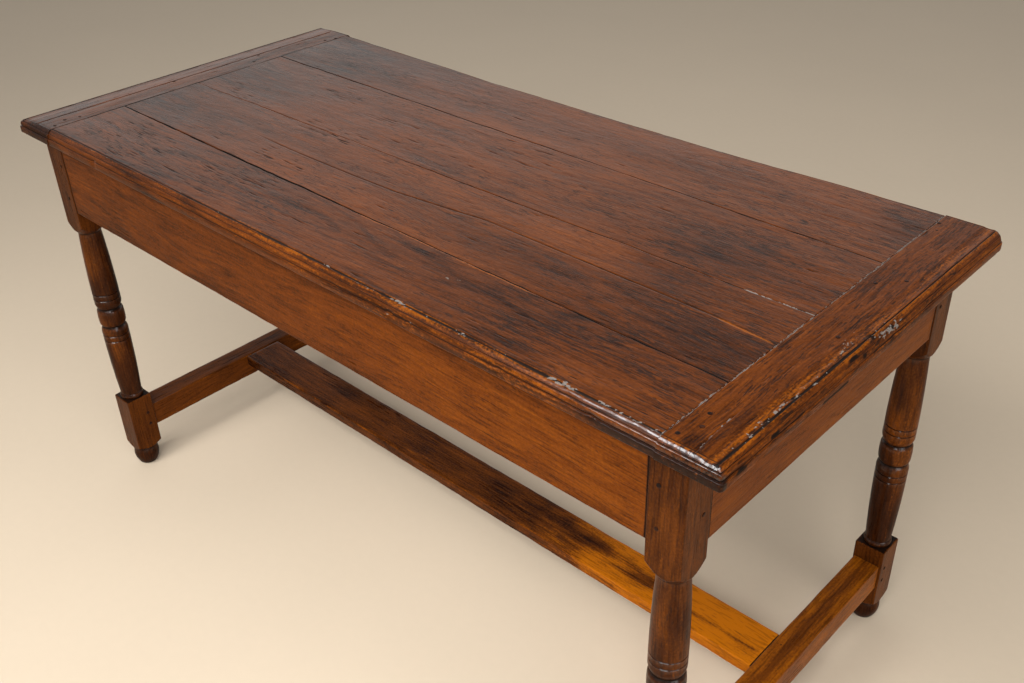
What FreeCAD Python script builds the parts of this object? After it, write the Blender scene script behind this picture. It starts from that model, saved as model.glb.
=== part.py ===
import FreeCAD, Part
import math
import os

# Farmhouse table with a framed plank top, four turned legs and an H stretcher.
# Millimetres. The origin is on the floor under the middle of the top, X runs along its length, Z is up.
# "Left" is the -X end, "front" is the -Y side. The top hangs over its frame unevenly, so the pieces are drawn
# about the middle of the four legs first, and moved under the middle of the top at the end.

# Whole table.
TABLE_HEIGHT = 760.0
TOP_LENGTH = 1510.0
TOP_WIDTH = 697.0
TOP_THICKNESS = 27.0
LEFT_OVERHANG = 66.0
RIGHT_OVERHANG = 48.0
FRONT_OVERHANG = 12.5
REAR_OVERHANG = 22.5

# Fits.
JOINT_CLEARANCE = 0.2
PEG_CLEARANCE = 0.1

# Planks of the top. They taper a little along their length, and have shrunk between the end boards.
FRONT_PLANK_LEFT_WIDTH = 156.0
FRONT_PLANK_RIGHT_WIDTH = 136.0
FRONT_MIDDLE_PLANK_LEFT_WIDTH = 156.0
FRONT_MIDDLE_PLANK_RIGHT_WIDTH = 188.0
REAR_MIDDLE_PLANK_LEFT_WIDTH = 198.0
REAR_MIDDLE_PLANK_RIGHT_WIDTH = 175.0
FRONT_SHRINKAGE = 1.5
REAR_SHRINKAGE = 9.5
FRONT_JOINT_GAP = 1.6
MIDDLE_JOINT_GAP = 0.4
REAR_JOINT_GAP = 0.8

# End boards of the top, grooved for the planks.
LEFT_END_BOARD_WIDTH = 103.5
RIGHT_END_BOARD_WIDTH = 85.5
END_BOARD_GAP = 0.4
CORNER_RADIUS = 5.0
TONGUE_THICKNESS = 9.0
TONGUE_LENGTH = 16.0
TONGUE_SETBACK = 24.0
PLANK_TENON_LENGTH = 58.0
PLANK_TENON_SHOULDER = 14.0

# Moulding round the edge of the top, from the underside up: plain lip, groove, bead, quirk and rolled edge.
LIP_HEIGHT = 11.0
GROOVE_HEIGHT = 1.8
GROOVE_DEPTH = 6.0
BEAD_HEIGHT = 7.0
BEAD_INSET = 4.2
BEAD_SWELL = 2.2
QUIRK_HEIGHT = 1.6
QUIRK_DEPTH = 8.5
ROLL_INSET = 6.2
ROLL_WIDTH = 5.0
ROLL_SWELL = 1.0

# Square leg blank, and the heights of its parts from the floor up.
LEG_BLOCK = 52.0
FOOT_HEIGHT = 41.5
FOOT_FULLEST_HEIGHT = 23.0
FOOT_SHOULDER_HEIGHT = 12.5
LOWER_BLOCK_HEIGHT = 116.5
BASE_RING_HEIGHT = 11.0
LOWER_SHAFT_HEIGHT = 160.5
BARREL_HEIGHT = 43.0
POMMEL_HEIGHT = 20.0
UPPER_BLOCK_HEIGHT = 163.0

# Radii of the turning.
FOOT_BASE_RADIUS = 18.0
FOOT_RADIUS = 24.8
FOOT_NECK_RADIUS = 22.0
BASE_RING_RADIUS = 22.8
SHAFT_SLIM_RADIUS = 20.7
SHAFT_FULL_RADIUS = 25.3
SHAFT_SWELL = 0.9
WAIST_RADIUS = 22.0
BARREL_RADIUS = 25.5
POMMEL_RADIUS = 21.7

# Rounded shoulders and the pairs of lines cut into the shafts beside the barrel.
SHAFT_SHOULDER_HEIGHT = 13.0
BARREL_NECK_HEIGHT = 3.0
BARREL_ROUND_HEIGHT = 7.0
BARREL_SWELL = 0.5
SHAFT_COLLAR_HEIGHT = 26.0
CUT_LINE_FROM_SHOULDER = 6.0
CUT_LINE_SPACING = 12.2
CUT_LINE_WIDTH = 2.6
CUT_LINE_DEPTH = 1.3

# Aprons along the long sides, and rails across the ends.
APRON_HEIGHT = 132.5
END_RAIL_HEIGHT = 137.5
APRON_THICKNESS = 28.0
APRON_SETBACK = 1.0
APRON_TENON_THICKNESS = 9.0
APRON_TENON_LENGTH = 30.0
APRON_TENON_TOP_SHOULDER = 20.0
APRON_TENON_BOTTOM_SHOULDER = 12.0

# H stretcher: a square rail between the legs at each end, and a flat board between those rails.
END_STRETCHER_THICKNESS = 45.5
END_STRETCHER_HEIGHT = 50.0
END_STRETCHER_SETBACK = 3.6
STRETCHER_TOP = 140.2
END_STRETCHER_TENON_THICKNESS = 14.0
END_STRETCHER_TENON_LENGTH = 34.0
END_STRETCHER_TENON_SHOULDER = 4.0
CENTRE_STRETCHER_WIDTH = 84.0
CENTRE_STRETCHER_THICKNESS = 22.0
CENTRE_TENON_THICKNESS = 10.0
CENTRE_TENON_WIDTH = 66.0
CENTRE_TENON_LENGTH = 30.0

# Pegs through the joints.
PEG_RADIUS = 3.6
PEG_TIP_LENGTH = 5.0
PEG_TIP_RADIUS = 2.4
PEG_PROUD = 0.8
PEG_FROM_SHOULDER = 15.0
APRON_PEG_LENGTH = 42.0
APRON_PEG_UPPER_DROP = 44.0
END_RAIL_PEG_UPPER_DROP = 26.0
APRON_PEG_SPACING = 63.0
STRETCHER_PEG_SPACING = 27.5
CENTRE_PEG_LENGTH = 26.0
CENTRE_PEG_FROM_SHOULDER = 13.0
CENTRE_PEG_SPACING = 50.0
TENON_PEG_FROM_JOINT = 45.0
TENON_PEG_FROM_PLANK_EDGE = 24.0
TENON_PEG_LENGTH = 24.0
TOP_PEG_DEPTH = 14.0
FRONT_POST_PEG_OFFSET = 13.0
REAR_POST_PEG_OFFSET = 7.5
RAIL_PEG_FROM_POST = 12.0
RAIL_PEG_FROM_PLANK_EDGE = 54.0
RAIL_PEG_FROM_OUTER_FACE = 20.0

# Heights and places that follow from the sizes above.
top_underside = TABLE_HEIGHT - TOP_THICKNESS
leg_outer_x = (TOP_LENGTH - LEFT_OVERHANG - RIGHT_OVERHANG) / 2
leg_outer_y = (TOP_WIDTH - FRONT_OVERHANG - REAR_OVERHANG) / 2
top_front = -leg_outer_y - FRONT_OVERHANG
top_rear = leg_outer_y + REAR_OVERHANG
top_ends = {"left": -leg_outer_x - LEFT_OVERHANG, "right": leg_outer_x + RIGHT_OVERHANG}
end_joints = {"left": top_ends["left"] + LEFT_END_BOARD_WIDTH, "right": top_ends["right"] - RIGHT_END_BOARD_WIDTH}
plank_front_edge = top_front + FRONT_SHRINKAGE
plank_rear_edge = top_rear - REAR_SHRINKAGE
leg_x = leg_outer_x - LEG_BLOCK / 2
leg_y = leg_outer_y - LEG_BLOCK / 2
leg_inner_x = leg_outer_x - LEG_BLOCK
leg_inner_y = leg_outer_y - LEG_BLOCK
apron_y = leg_outer_y - APRON_SETBACK - APRON_THICKNESS / 2
end_rail_x = leg_outer_x - APRON_SETBACK - APRON_THICKNESS / 2
end_stretcher_x = leg_outer_x - END_STRETCHER_SETBACK - END_STRETCHER_THICKNESS / 2
end_stretcher_inner_x = end_stretcher_x - END_STRETCHER_THICKNESS / 2
end_stretcher_mid_z = STRETCHER_TOP - END_STRETCHER_HEIGHT / 2
centre_tenon_z = STRETCHER_TOP - CENTRE_STRETCHER_THICKNESS / 2
tongue_z = top_underside + TOP_THICKNESS / 2

ENDS = {"left": -1, "right": 1}
SIDES = {"front": -1, "rear": 1}
UP = FreeCAD.Vector(0, 0, 1)
ORIGIN = FreeCAD.Vector(0, 0, 0)
TOP_MIDDLE = FreeCAD.Vector((top_ends["left"] + top_ends["right"]) / 2, (top_front + top_rear) / 2, 0)


def vector(x, y, z):
    return FreeCAD.Vector(x, y, z)


def block(x_range, y_range, z_range):
    """Box between two limits along each axis, given in either order."""
    low = vector(min(x_range), min(y_range), min(z_range))
    high = vector(max(x_range), max(y_range), max(z_range))
    size = high - low
    return Part.makeBox(size.x, size.y, size.z, low)


def about(centre, size):
    """Limits of a given size about a centre."""
    return (centre - size / 2, centre + size / 2)


def grown(limits, clearance):
    return (limits[0] - clearance, limits[1] + clearance)


def joined(first, others):
    """One solid from touching pieces, with the seams between them removed."""
    return first.multiFuse(others).removeSplitter()


def without(body, cutters):
    """The body with every cutter taken away."""
    if not cutters:
        return body
    return body.cut(Part.makeCompound(cutters))


class Outline:
    """Open chain of lines and arcs drawn from point to point in the XZ plane."""

    def __init__(self, x, z):
        self.end = vector(x, 0, z)
        self.edges = []

    def line(self, x, z):
        goal = vector(x, 0, z)
        self.edges.append(Part.LineSegment(self.end, goal).toShape())
        self.end = goal

    def arc(self, through_x, through_z, x, z):
        goal = vector(x, 0, z)
        self.edges.append(Part.Arc(self.end, vector(through_x, 0, through_z), goal).toShape())
        self.end = goal


def bulge(start, goal, rise):
    """Middle point of a shallow arc that stands off its chord by a rise, towards larger X."""
    return ((start[0] + goal[0]) / 2 + rise, (start[1] + goal[1]) / 2)


def moulded_edge(half):
    """Section of the top's moulded edge, from the underside up to the flat of the top."""
    edge = Outline(half, top_underside)
    lip_top = top_underside + LIP_HEIGHT
    bead_bottom = lip_top + GROOVE_HEIGHT
    bead_top = bead_bottom + BEAD_HEIGHT
    roll_bottom = bead_top + QUIRK_HEIGHT
    bead_face = half - BEAD_INSET
    roll_face = half - ROLL_INSET
    edge.line(half, lip_top)
    edge.line(half - GROOVE_DEPTH, lip_top + GROOVE_HEIGHT / 2)
    edge.line(bead_face, bead_bottom)
    edge.arc(bead_face + BEAD_SWELL, (bead_bottom + bead_top) / 2, bead_face, bead_top)
    edge.line(half - QUIRK_DEPTH, bead_top + QUIRK_HEIGHT / 2)
    edge.line(roll_face, roll_bottom)
    roll = bulge((roll_face, roll_bottom), (roll_face - ROLL_WIDTH, TABLE_HEIGHT), 0)
    edge.arc(roll[0] + ROLL_SWELL, roll[1] + ROLL_SWELL, roll_face - ROLL_WIDTH, TABLE_HEIGHT)
    return edge


def moulded_slab(width, length):
    """Slab with both long edges moulded: its length along Y, its moulded edges facing X."""
    edge = moulded_edge(width / 2)
    mirrored = [side.mirror(ORIGIN, vector(1, 0, 0)) for side in edge.edges]
    top = Part.LineSegment(edge.end, vector(-edge.end.x, 0, edge.end.z)).toShape()
    start = vector(width / 2, 0, top_underside)
    bottom = Part.LineSegment(vector(-start.x, 0, start.z), start).toShape()
    section = Part.Face(Part.Wire(Part.__sortEdges__(edge.edges + [top] + mirrored + [bottom])))
    section.translate(vector(0, -length / 2, 0))
    return section.extrude(vector(0, length, 0))


def turned_a_quarter(shape):
    shape.rotate(ORIGIN, UP, 90)
    return shape


def rounded_corner_prism():
    """Upright prism of the top's plan, with worn corners."""
    prism = block(tuple(top_ends.values()), (top_front, top_rear), (top_underside, TABLE_HEIGHT))
    uprights = [edge for edge in prism.Edges if edge.BoundBox.ZLength > TOP_THICKNESS / 2]
    return prism.makeFillet(CORNER_RADIUS, uprights)


def plank_rows():
    """Front and rear limits of each plank at the left and the right joint, named from front to rear."""
    front = plank_front_edge
    rear = plank_rear_edge
    joints = [
        (front + FRONT_PLANK_LEFT_WIDTH, front + FRONT_PLANK_RIGHT_WIDTH, FRONT_JOINT_GAP),
    ]
    for left, right, gap in (
        (FRONT_MIDDLE_PLANK_LEFT_WIDTH, FRONT_MIDDLE_PLANK_RIGHT_WIDTH, MIDDLE_JOINT_GAP),
        (REAR_MIDDLE_PLANK_LEFT_WIDTH, REAR_MIDDLE_PLANK_RIGHT_WIDTH, REAR_JOINT_GAP),
    ):
        before = joints[-1]
        joints.append((before[0] + left, before[1] + right, gap))
    limits = [(front, front, 0.0)] + joints + [(rear, rear, 0.0)]
    names = ["plank_front", "plank_front_middle", "plank_rear_middle", "plank_rear"]
    rows = {}
    for name, low, high in zip(names, limits, limits[1:]):
        rows[name] = {
            "left": (low[0] + low[2] / 2, high[0] - high[2] / 2),
            "right": (low[1] + low[2] / 2, high[1] - high[2] / 2),
        }
    return rows


def tongue_limits(name, row, end):
    """Limits of a plank's tongue along Y. The outer planks keep it away from the moulded edge."""
    low, high = row[end]
    if name == "plank_front":
        low += TONGUE_SETBACK
    if name == "plank_rear":
        high -= TONGUE_SETBACK
    return (low, high)


def end_grip(name, row, end, clearance):
    """Tongue and tenon that a plank puts into an end board, or the socket for them when clearance is given."""
    way = ENDS[end]
    low, high = tongue_limits(name, row, end)
    start = end_joints[end] - way * END_BOARD_GAP
    thickness = about(tongue_z, TONGUE_THICKNESS + 2 * clearance)
    tongue_end = end_joints[end] + way * (TONGUE_LENGTH + clearance)
    tenon_end = end_joints[end] + way * (PLANK_TENON_LENGTH + clearance)
    tongue = block((start, tongue_end), grown((low, high), clearance), thickness)
    tenon_limits = (low + PLANK_TENON_SHOULDER, high - PLANK_TENON_SHOULDER)
    tenon = block((start, tenon_end), grown(tenon_limits, clearance), thickness)
    return joined(tongue, [tenon])


def plank(name, row):
    left = end_joints["left"] + END_BOARD_GAP
    right = end_joints["right"] - END_BOARD_GAP
    slab = turned_a_quarter(moulded_slab(plank_rear_edge - plank_front_edge, right - left))
    slab.translate(vector((left + right) / 2, (plank_front_edge + plank_rear_edge) / 2, 0))
    corners = [
        vector(left, row["left"][0], top_underside),
        vector(right, row["right"][0], top_underside),
        vector(right, row["right"][1], top_underside),
        vector(left, row["left"][1], top_underside),
    ]
    plan = Part.Face(Part.makePolygon(corners + corners[:1]))
    board = slab.common(plan.extrude(vector(0, 0, TOP_THICKNESS)))
    return joined(board, [end_grip(name, row, end, 0.0) for end in ENDS])


def end_board(end, rows):
    """Board across the grain at one end of the top, grooved and mortised for every plank."""
    across = moulded_slab(TOP_LENGTH, TOP_WIDTH)
    along = turned_a_quarter(moulded_slab(TOP_WIDTH, TOP_LENGTH))
    framed = across.common(along)
    framed.translate(TOP_MIDDLE)
    reach = block((end_joints[end], top_ends[end]), (top_front, top_rear), (top_underside, TABLE_HEIGHT))
    board = framed.common(rounded_corner_prism()).common(reach)
    return without(board, [end_grip(name, row, end, JOINT_CLEARANCE) for name, row in rows.items()])


def cut_line(outline, radius, z):
    """V-shaped line cut round the shaft, starting at height z."""
    outline.line(radius, z)
    outline.line(radius - CUT_LINE_DEPTH, z + CUT_LINE_WIDTH / 2)
    outline.line(radius, z + CUT_LINE_WIDTH)


def barrel(outline, bottom, top):
    """Barrel between two necks: rounded at both ends, nearly straight between."""
    shoulder = BARREL_RADIUS - BARREL_SWELL
    lower = bottom + BARREL_ROUND_HEIGHT
    upper = top - BARREL_ROUND_HEIGHT
    round_out = bulge((WAIST_RADIUS, bottom), (shoulder, lower), SHAFT_SWELL)
    round_in = bulge((shoulder, upper), (WAIST_RADIUS, top), SHAFT_SWELL)
    outline.arc(round_out[0], round_out[1], shoulder, lower)
    outline.arc(BARREL_RADIUS, (lower + upper) / 2, shoulder, upper)
    outline.arc(round_in[0], round_in[1], WAIST_RADIUS, top)


def leg_blank():
    """Turned leg about the Z axis: a lathe outline with the square blocks left where the blank isn't cut."""
    corner = LEG_BLOCK / math.sqrt(2) + JOINT_CLEARANCE
    foot_block = FOOT_HEIGHT + FOOT_SHOULDER_HEIGHT
    lower_top = foot_block + LOWER_BLOCK_HEIGHT
    ring_top = lower_top + BASE_RING_HEIGHT
    waist = ring_top + LOWER_SHAFT_HEIGHT
    barrel_top = waist + BARREL_HEIGHT
    upper_bottom = top_underside - UPPER_BLOCK_HEIGHT
    pommel = upper_bottom - POMMEL_HEIGHT
    collar_bottom = waist - SHAFT_COLLAR_HEIGHT - SHAFT_SHOULDER_HEIGHT
    lower_shoulder = waist - SHAFT_SHOULDER_HEIGHT
    upper_shoulder = barrel_top + SHAFT_SHOULDER_HEIGHT
    collar_top = upper_shoulder + SHAFT_COLLAR_HEIGHT
    turning = Outline(0, 0)
    turning.line(FOOT_BASE_RADIUS, 0)
    turning.arc(FOOT_RADIUS, FOOT_FULLEST_HEIGHT, FOOT_NECK_RADIUS, FOOT_HEIGHT)
    turning.line(corner, foot_block)
    turning.line(corner, lower_top)
    turning.line(SHAFT_SLIM_RADIUS, lower_top)
    turning.arc(BASE_RING_RADIUS, (lower_top + ring_top) / 2, SHAFT_SLIM_RADIUS, ring_top)
    middle = bulge((SHAFT_SLIM_RADIUS, ring_top), (SHAFT_FULL_RADIUS, collar_bottom), SHAFT_SWELL)
    turning.arc(middle[0], middle[1], SHAFT_FULL_RADIUS, collar_bottom)
    second_line = lower_shoulder - CUT_LINE_FROM_SHOULDER
    cut_line(turning, SHAFT_FULL_RADIUS, second_line - CUT_LINE_SPACING)
    cut_line(turning, SHAFT_FULL_RADIUS, second_line)
    turning.line(SHAFT_FULL_RADIUS, lower_shoulder)
    round_over = bulge((SHAFT_FULL_RADIUS, lower_shoulder), (WAIST_RADIUS, waist), SHAFT_SWELL)
    turning.arc(round_over[0], round_over[1], WAIST_RADIUS, waist)
    turning.line(WAIST_RADIUS, waist + BARREL_NECK_HEIGHT)
    barrel(turning, waist + BARREL_NECK_HEIGHT, barrel_top - BARREL_NECK_HEIGHT)
    turning.line(WAIST_RADIUS, barrel_top)
    round_out = bulge((WAIST_RADIUS, barrel_top), (SHAFT_FULL_RADIUS, upper_shoulder), SHAFT_SWELL)
    turning.arc(round_out[0], round_out[1], SHAFT_FULL_RADIUS, upper_shoulder)
    first_line = upper_shoulder + CUT_LINE_FROM_SHOULDER
    cut_line(turning, SHAFT_FULL_RADIUS, first_line)
    cut_line(turning, SHAFT_FULL_RADIUS, first_line + CUT_LINE_SPACING)
    turning.line(SHAFT_FULL_RADIUS, collar_top)
    taper = bulge((SHAFT_FULL_RADIUS, collar_top), (SHAFT_SLIM_RADIUS, pommel), SHAFT_SWELL)
    turning.arc(taper[0], taper[1], SHAFT_SLIM_RADIUS, pommel)
    turning.line(POMMEL_RADIUS, pommel)
    turning.line(corner, upper_bottom)
    turning.line(corner, top_underside)
    turning.line(0, top_underside)
    turning.line(0, 0)
    lathe_work = Part.Face(Part.Wire(turning.edges)).revolve(ORIGIN, UP, 360)
    blank = block(about(0, LEG_BLOCK), about(0, LEG_BLOCK), (0, top_underside))
    return blank.common(lathe_work)


def apron_tenon_heights(height):
    bottom = top_underside - height
    return (bottom + APRON_TENON_BOTTOM_SHOULDER, top_underside - APRON_TENON_TOP_SHOULDER)


def apron_tenon(end, side, clearance):
    """Tenon of a long apron in one leg, or its mortise when clearance is given."""
    reach = (ENDS[end] * leg_inner_x, ENDS[end] * (leg_inner_x + APRON_TENON_LENGTH + clearance))
    thickness = about(SIDES[side] * apron_y, APRON_TENON_THICKNESS + 2 * clearance)
    return block(reach, thickness, grown(apron_tenon_heights(APRON_HEIGHT), clearance))


def end_rail_tenon(end, side, clearance):
    """Tenon of an end rail in one leg, or its mortise when clearance is given."""
    reach = (SIDES[side] * leg_inner_y, SIDES[side] * (leg_inner_y + APRON_TENON_LENGTH + clearance))
    thickness = about(ENDS[end] * end_rail_x, APRON_TENON_THICKNESS + 2 * clearance)
    return block(thickness, reach, grown(apron_tenon_heights(END_RAIL_HEIGHT), clearance))


def end_stretcher_tenon(end, side, clearance):
    """Tenon of an end stretcher in one leg, or its mortise when clearance is given."""
    reach = (SIDES[side] * leg_inner_y, SIDES[side] * (leg_inner_y + END_STRETCHER_TENON_LENGTH + clearance))
    thickness = about(ENDS[end] * end_stretcher_x, END_STRETCHER_TENON_THICKNESS + 2 * clearance)
    height = END_STRETCHER_HEIGHT - 2 * END_STRETCHER_TENON_SHOULDER + 2 * clearance
    return block(thickness, reach, about(end_stretcher_mid_z, height))


def centre_tenon(end, clearance):
    """Tenon of the centre stretcher in an end stretcher, or its mortise when clearance is given."""
    way = ENDS[end]
    reach = (way * end_stretcher_inner_x, way * (end_stretcher_inner_x + CENTRE_TENON_LENGTH + clearance))
    width = about(0, CENTRE_TENON_WIDTH + 2 * clearance)
    return block(reach, width, about(centre_tenon_z, CENTRE_TENON_THICKNESS + 2 * clearance))


def leg(end, side):
    blank = leg_blank()
    blank.translate(vector(ENDS[end] * leg_x, SIDES[side] * leg_y, 0))
    mortises = [
        apron_tenon(end, side, JOINT_CLEARANCE),
        end_rail_tenon(end, side, JOINT_CLEARANCE),
        end_stretcher_tenon(end, side, JOINT_CLEARANCE),
    ]
    return without(blank, mortises)


def apron(side):
    board = block(
        (-leg_inner_x, leg_inner_x),
        about(SIDES[side] * apron_y, APRON_THICKNESS),
        (top_underside - APRON_HEIGHT, top_underside),
    )
    return joined(board, [apron_tenon(end, side, 0.0) for end in ENDS])


def end_rail(end):
    board = block(
        about(ENDS[end] * end_rail_x, APRON_THICKNESS),
        (-leg_inner_y, leg_inner_y),
        (top_underside - END_RAIL_HEIGHT, top_underside),
    )
    return joined(board, [end_rail_tenon(end, side, 0.0) for side in SIDES])


def end_stretcher(end):
    rail = block(
        about(ENDS[end] * end_stretcher_x, END_STRETCHER_THICKNESS),
        (-leg_inner_y, leg_inner_y),
        (STRETCHER_TOP - END_STRETCHER_HEIGHT, STRETCHER_TOP),
    )
    rail = joined(rail, [end_stretcher_tenon(end, side, 0.0) for side in SIDES])
    return without(rail, [centre_tenon(end, JOINT_CLEARANCE)])


def centre_stretcher():
    board = block(
        (-end_stretcher_inner_x, end_stretcher_inner_x),
        about(0, CENTRE_STRETCHER_WIDTH),
        (STRETCHER_TOP - CENTRE_STRETCHER_THICKNESS, STRETCHER_TOP),
    )
    return joined(board, [centre_tenon(end, 0.0) for end in ENDS])


class Peg:
    """Riven peg driven in from a face: where its head stands, which way it points and how long it is."""

    def __init__(self, head, way, length, pointed=True):
        self.head = head
        self.way = way
        self.length = length
        self.pointed = pointed

    def solid(self):
        if not self.pointed:
            return Part.makeCylinder(PEG_RADIUS, self.length, self.head, self.way)
        shank_length = self.length - PEG_TIP_LENGTH
        shank = Part.makeCylinder(PEG_RADIUS, shank_length, self.head, self.way)
        tip_start = self.head + self.way * shank_length
        tip = Part.makeCone(PEG_RADIUS, PEG_TIP_RADIUS, PEG_TIP_LENGTH, tip_start, self.way)
        return joined(shank, [tip])

    def hole(self):
        depth = self.length + PEG_CLEARANCE
        return Part.makeCylinder(PEG_RADIUS + PEG_CLEARANCE, depth, self.head, self.way)


def apron_pegs():
    """Two pegs from the long side through each apron tenon."""
    upper = top_underside - APRON_PEG_UPPER_DROP
    pegs = []
    for way_x in ENDS.values():
        for way_y in SIDES.values():
            for z in (upper, upper - APRON_PEG_SPACING):
                head = vector(way_x * (leg_inner_x + PEG_FROM_SHOULDER), way_y * (leg_outer_y + PEG_PROUD), z)
                pegs.append(Peg(head, vector(0, -way_y, 0), APRON_PEG_LENGTH))
    return pegs


def end_rail_pegs():
    """Two pegs from the end through each end rail tenon, between the heights of the apron pegs."""
    upper = top_underside - END_RAIL_PEG_UPPER_DROP
    pegs = []
    for way_x in ENDS.values():
        for way_y in SIDES.values():
            for z in (upper, upper - APRON_PEG_SPACING):
                head = vector(way_x * (leg_outer_x + PEG_PROUD), way_y * (leg_inner_y + PEG_FROM_SHOULDER), z)
                pegs.append(Peg(head, vector(-way_x, 0, 0), APRON_PEG_LENGTH))
    return pegs


def stretcher_pegs():
    """Two pegs right through each lower leg block and its stretcher tenon, cut off on both faces."""
    length = LEG_BLOCK + 2 * PEG_PROUD
    pegs = []
    for way_x in ENDS.values():
        for way_y in SIDES.values():
            for z in about(end_stretcher_mid_z, STRETCHER_PEG_SPACING):
                head = vector(way_x * (leg_outer_x + PEG_PROUD), way_y * (leg_inner_y + PEG_FROM_SHOULDER), z)
                pegs.append(Peg(head, vector(-way_x, 0, 0), length, pointed=False))
    return pegs


def centre_stretcher_pegs():
    """Two pegs from above through each tenon of the centre stretcher."""
    pegs = []
    for way_x in ENDS.values():
        for y in about(0, CENTRE_PEG_SPACING):
            x = way_x * (end_stretcher_inner_x + CENTRE_PEG_FROM_SHOULDER)
            pegs.append(Peg(vector(x, y, STRETCHER_TOP), -UP, CENTRE_PEG_LENGTH))
    return pegs


def end_board_pegs(rows):
    """A peg from above through the tenon of each middle plank, near the plank's rear edge."""
    pegs = []
    for end, way_x in ENDS.items():
        for name in ("plank_front_middle", "plank_rear_middle"):
            y = rows[name][end][1] - TENON_PEG_FROM_PLANK_EDGE
            head = vector(end_joints[end] + way_x * TENON_PEG_FROM_JOINT, y, TABLE_HEIGHT)
            pegs.append(Peg(head, -UP, TENON_PEG_LENGTH))
    return pegs


def top_pegs(rows):
    """Pegs that hold the top down on the leg posts and the end rails."""
    places = []
    for end, way_x in ENDS.items():
        front = FRONT_POST_PEG_OFFSET
        rear = REAR_POST_PEG_OFFSET
        places.append((way_x * (leg_x + front), -leg_y + front))
        places.append((way_x * leg_x, -leg_y - front))
        places.append((way_x * (leg_x - rear), leg_y + rear))
        places.append((way_x * leg_x, leg_y - 2 * rear))
        rail_x = way_x * (leg_outer_x - RAIL_PEG_FROM_OUTER_FACE)
        places.append((rail_x, -leg_inner_y + RAIL_PEG_FROM_POST))
        places.append((rail_x, rows["plank_rear_middle"][end][1] - RAIL_PEG_FROM_PLANK_EDGE))
    length = TOP_THICKNESS + TOP_PEG_DEPTH
    return [Peg(vector(x, y, TABLE_HEIGHT), -UP, length) for x, y in places]


def drilled(body, *groups):
    """The body with the holes of every peg in the groups that reaches it."""
    holes = []
    for group in groups:
        for peg in group:
            hole = peg.hole()
            if hole.BoundBox.intersect(body.BoundBox):
                holes.append(hole)
    return without(body, holes)


def build():
    rows = plank_rows()
    groups = {
        "apron_pegs": apron_pegs(),
        "end_rail_pegs": end_rail_pegs(),
        "stretcher_pegs": stretcher_pegs(),
        "centre_stretcher_pegs": centre_stretcher_pegs(),
        "end_board_pegs": end_board_pegs(rows),
        "top_pegs": top_pegs(rows),
    }
    everything = list(groups.values())
    pieces = {}
    for name, row in rows.items():
        pieces[name] = drilled(plank(name, row), *everything)
    for end in ENDS:
        pieces["end_board_" + end] = drilled(end_board(end, rows), *everything)
        pieces["end_rail_" + end] = drilled(end_rail(end), *everything)
        pieces["end_stretcher_" + end] = drilled(end_stretcher(end), *everything)
        for side in SIDES:
            pieces["leg_" + side + "_" + end] = drilled(leg(end, side), *everything)
    for side in SIDES:
        pieces["apron_" + side] = drilled(apron(side), *everything)
    pieces["centre_stretcher"] = drilled(centre_stretcher(), *everything)
    for name, pegs in groups.items():
        pieces[name] = Part.makeCompound([peg.solid() for peg in pegs])
    for piece in pieces.values():
        piece.translate(-TOP_MIDDLE)
    return pieces


os.makedirs("parts", exist_ok=True)
for node, shape in build().items():
    if not shape.isValid():
        raise ValueError(node + " isn't a valid solid")
    shape.exportStep(os.path.join("parts", node + ".step"))
    print(node, len(shape.Solids), "solids", round(shape.Volume / 1000), "cm3")
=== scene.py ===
import math

import bmesh
import bpy
import numpy as np
from mathutils import Matrix, Vector


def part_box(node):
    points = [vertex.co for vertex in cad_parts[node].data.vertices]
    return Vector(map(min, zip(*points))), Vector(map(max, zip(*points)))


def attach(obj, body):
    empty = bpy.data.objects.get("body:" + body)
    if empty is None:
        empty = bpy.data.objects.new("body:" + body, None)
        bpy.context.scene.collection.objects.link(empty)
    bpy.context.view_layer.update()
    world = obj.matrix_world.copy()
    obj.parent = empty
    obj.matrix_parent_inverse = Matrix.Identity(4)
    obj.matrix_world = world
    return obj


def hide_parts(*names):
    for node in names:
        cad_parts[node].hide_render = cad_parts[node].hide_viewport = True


bl_info = {
    "name": "Farmhouse Table",
    "version": (1, 0, 0),
    "blender": (4, 5, 0),
    "location": "3D View > Sidebar > Farmhouse Table",
    "description": "Dresses the farmhouse table's frame with worn boards, turned legs and old waxed wood",
    "category": "Object",
}

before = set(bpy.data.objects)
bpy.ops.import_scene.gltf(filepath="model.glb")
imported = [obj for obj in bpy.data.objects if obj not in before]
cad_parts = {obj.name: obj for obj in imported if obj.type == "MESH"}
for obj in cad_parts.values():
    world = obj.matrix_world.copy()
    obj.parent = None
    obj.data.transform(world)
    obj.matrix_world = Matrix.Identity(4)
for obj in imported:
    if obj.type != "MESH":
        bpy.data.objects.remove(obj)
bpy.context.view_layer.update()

# Metres. X runs along the table, Y from front to rear, Z up. "Left" is the -X end, "front" the -Y side.
# Pieces are shaped about the middle of the four legs, and moved to their place when they are done.
BODY = "root"
ENDS = {"left": -1.0, "right": 1.0}
SIDES = {"front": -1.0, "rear": 1.0}
PLANKS = ("plank_front", "plank_front_middle", "plank_rear_middle", "plank_rear")
MARKS = ("soil", "wear", "dust", "tone", "checked", "polish")

LEGS_MIDDLE = (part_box("leg_front_left")[0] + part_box("leg_rear_right")[1]) / 2
LEGS_MIDDLE.z = 0.0


def box(node):
    """Lowest and highest corner of a node, measured from the middle of the legs."""
    low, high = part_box(node)
    return low - LEGS_MIDDLE, high - LEGS_MIDDLE


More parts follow.
